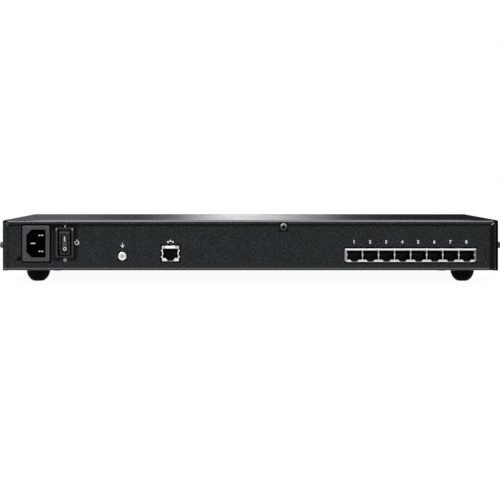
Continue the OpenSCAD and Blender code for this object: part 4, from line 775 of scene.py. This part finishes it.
ferrite = new_material("ferrite", {
    "Colour": grey(0.025), "Fleck": (0.16, 0.12, 0.03, 1), "Fleck Amount": 0.25, "Grain Size": 1.2 * MM,
    "Roughness": 0.55, "Roughness Spread": 0.2, "Bump": 0.02 * MM, "Edge Radius": 0.3 * MM,
})
coat(ferrite, "psu_transformer")

pale_moulding = new_material("pale_moulding", {
    "Colour": (0.5, 0.48, 0.42, 1), "Fleck": (0.62, 0.6, 0.54, 1), "Fleck Amount": 0.5,
    "Grain Size": 0.8 * MM, "Roughness": 0.45, "Roughness Spread": 0.15, "Bump": 0.01 * MM,
    "Edge Radius": 0.2 * MM,
})
coat(pale_moulding, "mains_filter", "pin_headers")

# Leads: stranded copper in soft insulation, brown for the mains, green for earth and red for the supply.
# A grey ribbon joins the main board to the front board.
INSULATION = {
    "mains_leads": ("brown_insulation", (0.05, 0.022, 0.012)),
    "earth_lead": ("green_insulation", (0.06, 0.2, 0.03)),
    "dc_leads": ("red_insulation", (0.3, 0.02, 0.015)),
    "ribbon_cable": ("grey_insulation", (0.25, 0.25, 0.26)),
}
PALER = 1.5
for lead, (name, colour) in INSULATION.items():
    jacket = new_material(name, {
        "Colour": (*colour, 1), "Fleck": (*(PALER * part for part in colour), 1), "Fleck Amount": 0.4,
        "Grain Size": 0.9 * MM, "Roughness": 0.45, "Roughness Spread": 0.15, "Bump": 0.01 * MM,
        "Edge Radius": 0.2 * MM,
    })
    coat(jacket, lead)

# Front panel: a black moulding with a fine grain, screwed to the tray from inside.
# Grey buttons choose a port, and clear light pipes carry the lamps to the face.
front_moulding = new_material("front_moulding", {
    "Colour": grey(0.012), "Fleck": grey(0.026), "Fleck Amount": 0.7, "Grain Size": 0.45 * MM,
    "Roughness": 0.48, "Roughness Spread": 0.18, "Bump": 0.03 * MM, "Edge Radius": 0.3 * MM,
}, specular=0.4)
coat(front_moulding, "front_panel")

button_plastic = new_material("button_plastic", {
    "Colour": (0.13, 0.135, 0.14, 1), "Fleck": (0.18, 0.185, 0.19, 1), "Fleck Amount": 0.5,
    "Grain Size": 0.5 * MM, "Roughness": 0.4, "Roughness Spread": 0.15, "Bump": 0.01 * MM,
    "Edge Radius": 0.2 * MM,
})
coat(button_plastic, *[f"port_button_{port + 1}" for port in range(PORTS)])

lamp_body = new_material("lamp_body", {
    "Colour": (0.75, 0.74, 0.66, 1), "Fleck": (0.85, 0.84, 0.76, 1), "Fleck Amount": 0.5,
    "Grain Size": 0.4 * MM, "Roughness": 0.3, "Roughness Spread": 0.1, "Bump": 0.004 * MM,
    "Edge Radius": 0.1 * MM,
})
coat(lamp_body, "indicator_leds", "usb_tongues")

light_pipe = new_material("light_pipe", {
    "Colour": (0.75, 0.85, 0.75, 1), "Fleck": (0.85, 0.93, 0.85, 1), "Fleck Amount": 0.4,
    "Grain Size": 0.6 * MM, "Roughness": 0.2, "Roughness Spread": 0.1, "Bump": 0.003 * MM,
    "Edge Radius": 0.2 * MM,
})
light_pipe.node_tree.nodes["Principled BSDF"].inputs["Transmission Weight"].default_value = 0.6
coat(light_pipe, "light_pipes")

# Console sockets of the front: a video socket with two jack screws, and two data sockets.
# The video insert is a blue moulding, and the plated shells share the finish of the rear shields.
video_plastic = new_material("video_plastic", {
    "Colour": (0.015, 0.05, 0.24, 1), "Fleck": (0.03, 0.08, 0.32, 1), "Fleck Amount": 0.5,
    "Grain Size": 0.5 * MM, "Roughness": 0.4, "Roughness Spread": 0.15, "Bump": 0.008 * MM,
    "Edge Radius": 0.15 * MM,
})
coat(video_plastic, "video_insert")
coat(zinc_plate, "video_jack_screws")

# Stage: a white floor that keeps a pale shadow, and a white surround that is darker behind the camera.
# A soft lamp hangs to the left of the camera and a weak one over the box.
# A graded card that only gloss can see stands behind the box and lights the sheen of the cover's top.
FLOOR_SIZE = (12.0, 12.0)
FLOOR_GLOW = 0.95
FLOOR_SHADE = grey(0.12)
FLOOR_BOUNCE = grey(0.8)


def stage_sheet(name, place, size):
    mesh = bmesh.new()
    bmesh.ops.create_grid(mesh, x_segments=1, y_segments=1, size=0.5)
    bmesh.ops.transform(mesh, matrix=place @ Matrix.Diagonal((*size, 1, 1)), verts=mesh.verts)
    data = bpy.data.meshes.new(name)
    mesh.to_mesh(data)
    mesh.free()
    sheet = bpy.data.objects.new(name, data)
    bpy.context.scene.collection.objects.link(sheet)
    paint = bpy.data.materials.new(name)
    paint.use_nodes = True
    paint.node_tree.nodes.remove(paint.node_tree.nodes["Principled BSDF"])
    data.materials.append(paint)
    return sheet


def mix_by_ray(tree, lighting, shown, output):
    # What the camera, gloss and glass see is shown, and every other ray meets the lighting.
    rays = tree.nodes.new("ShaderNodeLightPath").outputs
    seen = any_of(tree, rays["Is Camera Ray"], rays["Is Glossy Ray"], rays["Is Transmission Ray"])
    mixed = add_node(tree, "ShaderNodeMixShader", Fac=seen, i1=lighting, i2=shown)
    tree.links.new(mixed.outputs[0], tree.nodes[output].inputs[0])


def white_where_plain(tree, level):
    # The camera and glass see plain white, and only gloss sees the level fall off.
    rays = tree.nodes.new("ShaderNodeLightPath").outputs
    return any_of(tree, level, rays["Is Camera Ray"], rays["Is Transmission Ray"])


def paint_floor(tree):
    x = object_axes(tree)["X"]
    left = ramp(tree, x, -0.7, -0.34, low=0.3, high=1.0)
    right = ramp(tree, x, 0.34, 0.7, low=1.0, high=0.12)
    level = all_of(tree, left, right)
    strength = math_node(tree, "MULTIPLY", white_where_plain(tree, level), FLOOR_GLOW)
    glow = add_node(tree, "ShaderNodeEmission", Strength=strength).outputs[0]
    shade = add_node(tree, "ShaderNodeBsdfDiffuse", Color=FLOOR_SHADE).outputs[0]
    bounce = add_node(tree, "ShaderNodeBsdfDiffuse", Color=FLOOR_BOUNCE).outputs[0]
    shown = add_node(tree, "ShaderNodeAddShader", i0=glow, i1=shade).outputs[0]
    mix_by_ray(tree, bounce, shown, "Material Output")


floor = stage_sheet("floor", Matrix.Identity(4), FLOOR_SIZE)
paint_floor(floor.active_material.node_tree)

CARD_W = 2.6
CARD_H = 1.8
CARD_Y = 0.6
CARD_LIFT = 0.02
CARD_GLOW = 2.4
CARD_LEVELS = {
    -0.31: 0.115, -0.24: 0.12, -0.155: 0.022, -0.1: 0.15, -0.03: 1.0,
    0.0: 1.0, 0.07: 0.44, 0.14: 0.03, 0.2: 0.004, 0.31: 0.002,
}


def paint_card(tree):
    along = ramp(tree, object_axes(tree)["X"], -CARD_W / 2, CARD_W / 2)
    graded = add_node(tree, "ShaderNodeValToRGB", Fac=along)
    stops = graded.color_ramp.elements
    while len(stops) < len(CARD_LEVELS):
        stops.new(0.5)
    for stop, (x, level) in zip(stops, CARD_LEVELS.items()):
        stop.position = x / CARD_W + 0.5
        stop.color = grey(level)
    glow = add_node(tree, "ShaderNodeEmission", Color=graded.outputs["Color"], Strength=CARD_GLOW)
    tree.links.new(glow.outputs[0], tree.nodes["Material Output"].inputs[0])


standing = Matrix.Translation((0, CARD_Y, CARD_H / 2 + CARD_LIFT)) @ UPRIGHT
card = stage_sheet("graded_card", standing, (CARD_W, CARD_H))
card.visible_camera = False
card.visible_diffuse = False
card.visible_shadow = False
card.visible_transmission = False
paint_card(card.active_material.node_tree)

AMBIENT_LEVEL = 0.45


def light_surround(tree):
    ambient = tree.nodes["Background"]
    ambient.inputs["Color"].default_value = grey(1.0)
    ambient.inputs["Strength"].default_value = AMBIENT_LEVEL
    towards = add_node(tree, "ShaderNodeTexCoord").outputs["Generated"]
    towards = add_node(tree, "ShaderNodeSeparateXYZ", i0=towards).outputs
    overhead = ramp(tree, towards["Z"], 0.2, 0.5)
    past_box = ramp(tree, towards["Y"], 0.4, 0.8)
    leftward = ramp(tree, towards["X"], -0.7, -0.25, low=0.28, high=0.6)
    rightward = ramp(tree, towards["X"], 0.25, 0.7, low=0.6, high=0.1)
    level = any_of(tree, overhead, past_box, all_of(tree, leftward, rightward))
    strength = white_where_plain(tree, level)
    white = add_node(tree, "ShaderNodeBackground", Color=grey(1.0), Strength=strength).outputs[0]
    mix_by_ray(tree, ambient.outputs[0], white, "World Output")


world = bpy.data.worlds.new("surround")
bpy.context.scene.world = world
world.use_nodes = True
light_surround(world.node_tree)

LAMP_TARGET = Vector((0, 0, 0.03))


def soft_lamp(name, place, size, power):
    light = bpy.data.lights.new(name, "AREA")
    light.shape = "RECTANGLE"
    light.size, light.size_y = size
    light.energy = power
    lamp = bpy.data.objects.new(name, light)
    lamp.location = place
    lamp.rotation_euler = (LAMP_TARGET - Vector(place)).to_track_quat("-Z", "Y").to_euler()
    lamp.visible_camera = False
    bpy.context.scene.collection.objects.link(lamp)


soft_lamp("key_lamp", place=(-0.9, -1.1, 1.2), size=(1.2, 0.9), power=14)
soft_lamp("top_lamp", place=(0, 0.1, 1.3), size=(1.6, 0.3), power=3.5)

# Camera: it stands level behind the box, so that upright edges stay upright as in the photograph.
# The frame is shifted down from the horizon, and the long lens shows the sides as slivers.
FRAME_PX = 500
FOCAL_PX = 1239.5
HORIZON_PX = 174.1
MIDDLE_PX = 244.25
EYE = (-5.4 * MM, -1160 * MM, 94.5 * MM)
camera = bpy.data.cameras.new("camera")
camera.sensor_width = 36
camera.lens = camera.sensor_width * FOCAL_PX / FRAME_PX
camera.shift_x = (FRAME_PX / 2 - MIDDLE_PX) / FRAME_PX
camera.shift_y = (HORIZON_PX - FRAME_PX / 2) / FRAME_PX
viewpoint = bpy.data.objects.new("camera", camera)
viewpoint.location = EYE
viewpoint.rotation_euler = (math.radians(90), 0, 0)
bpy.context.scene.collection.objects.link(viewpoint)
bpy.context.scene.camera = viewpoint
bpy.context.scene.view_settings.view_transform = "Standard"
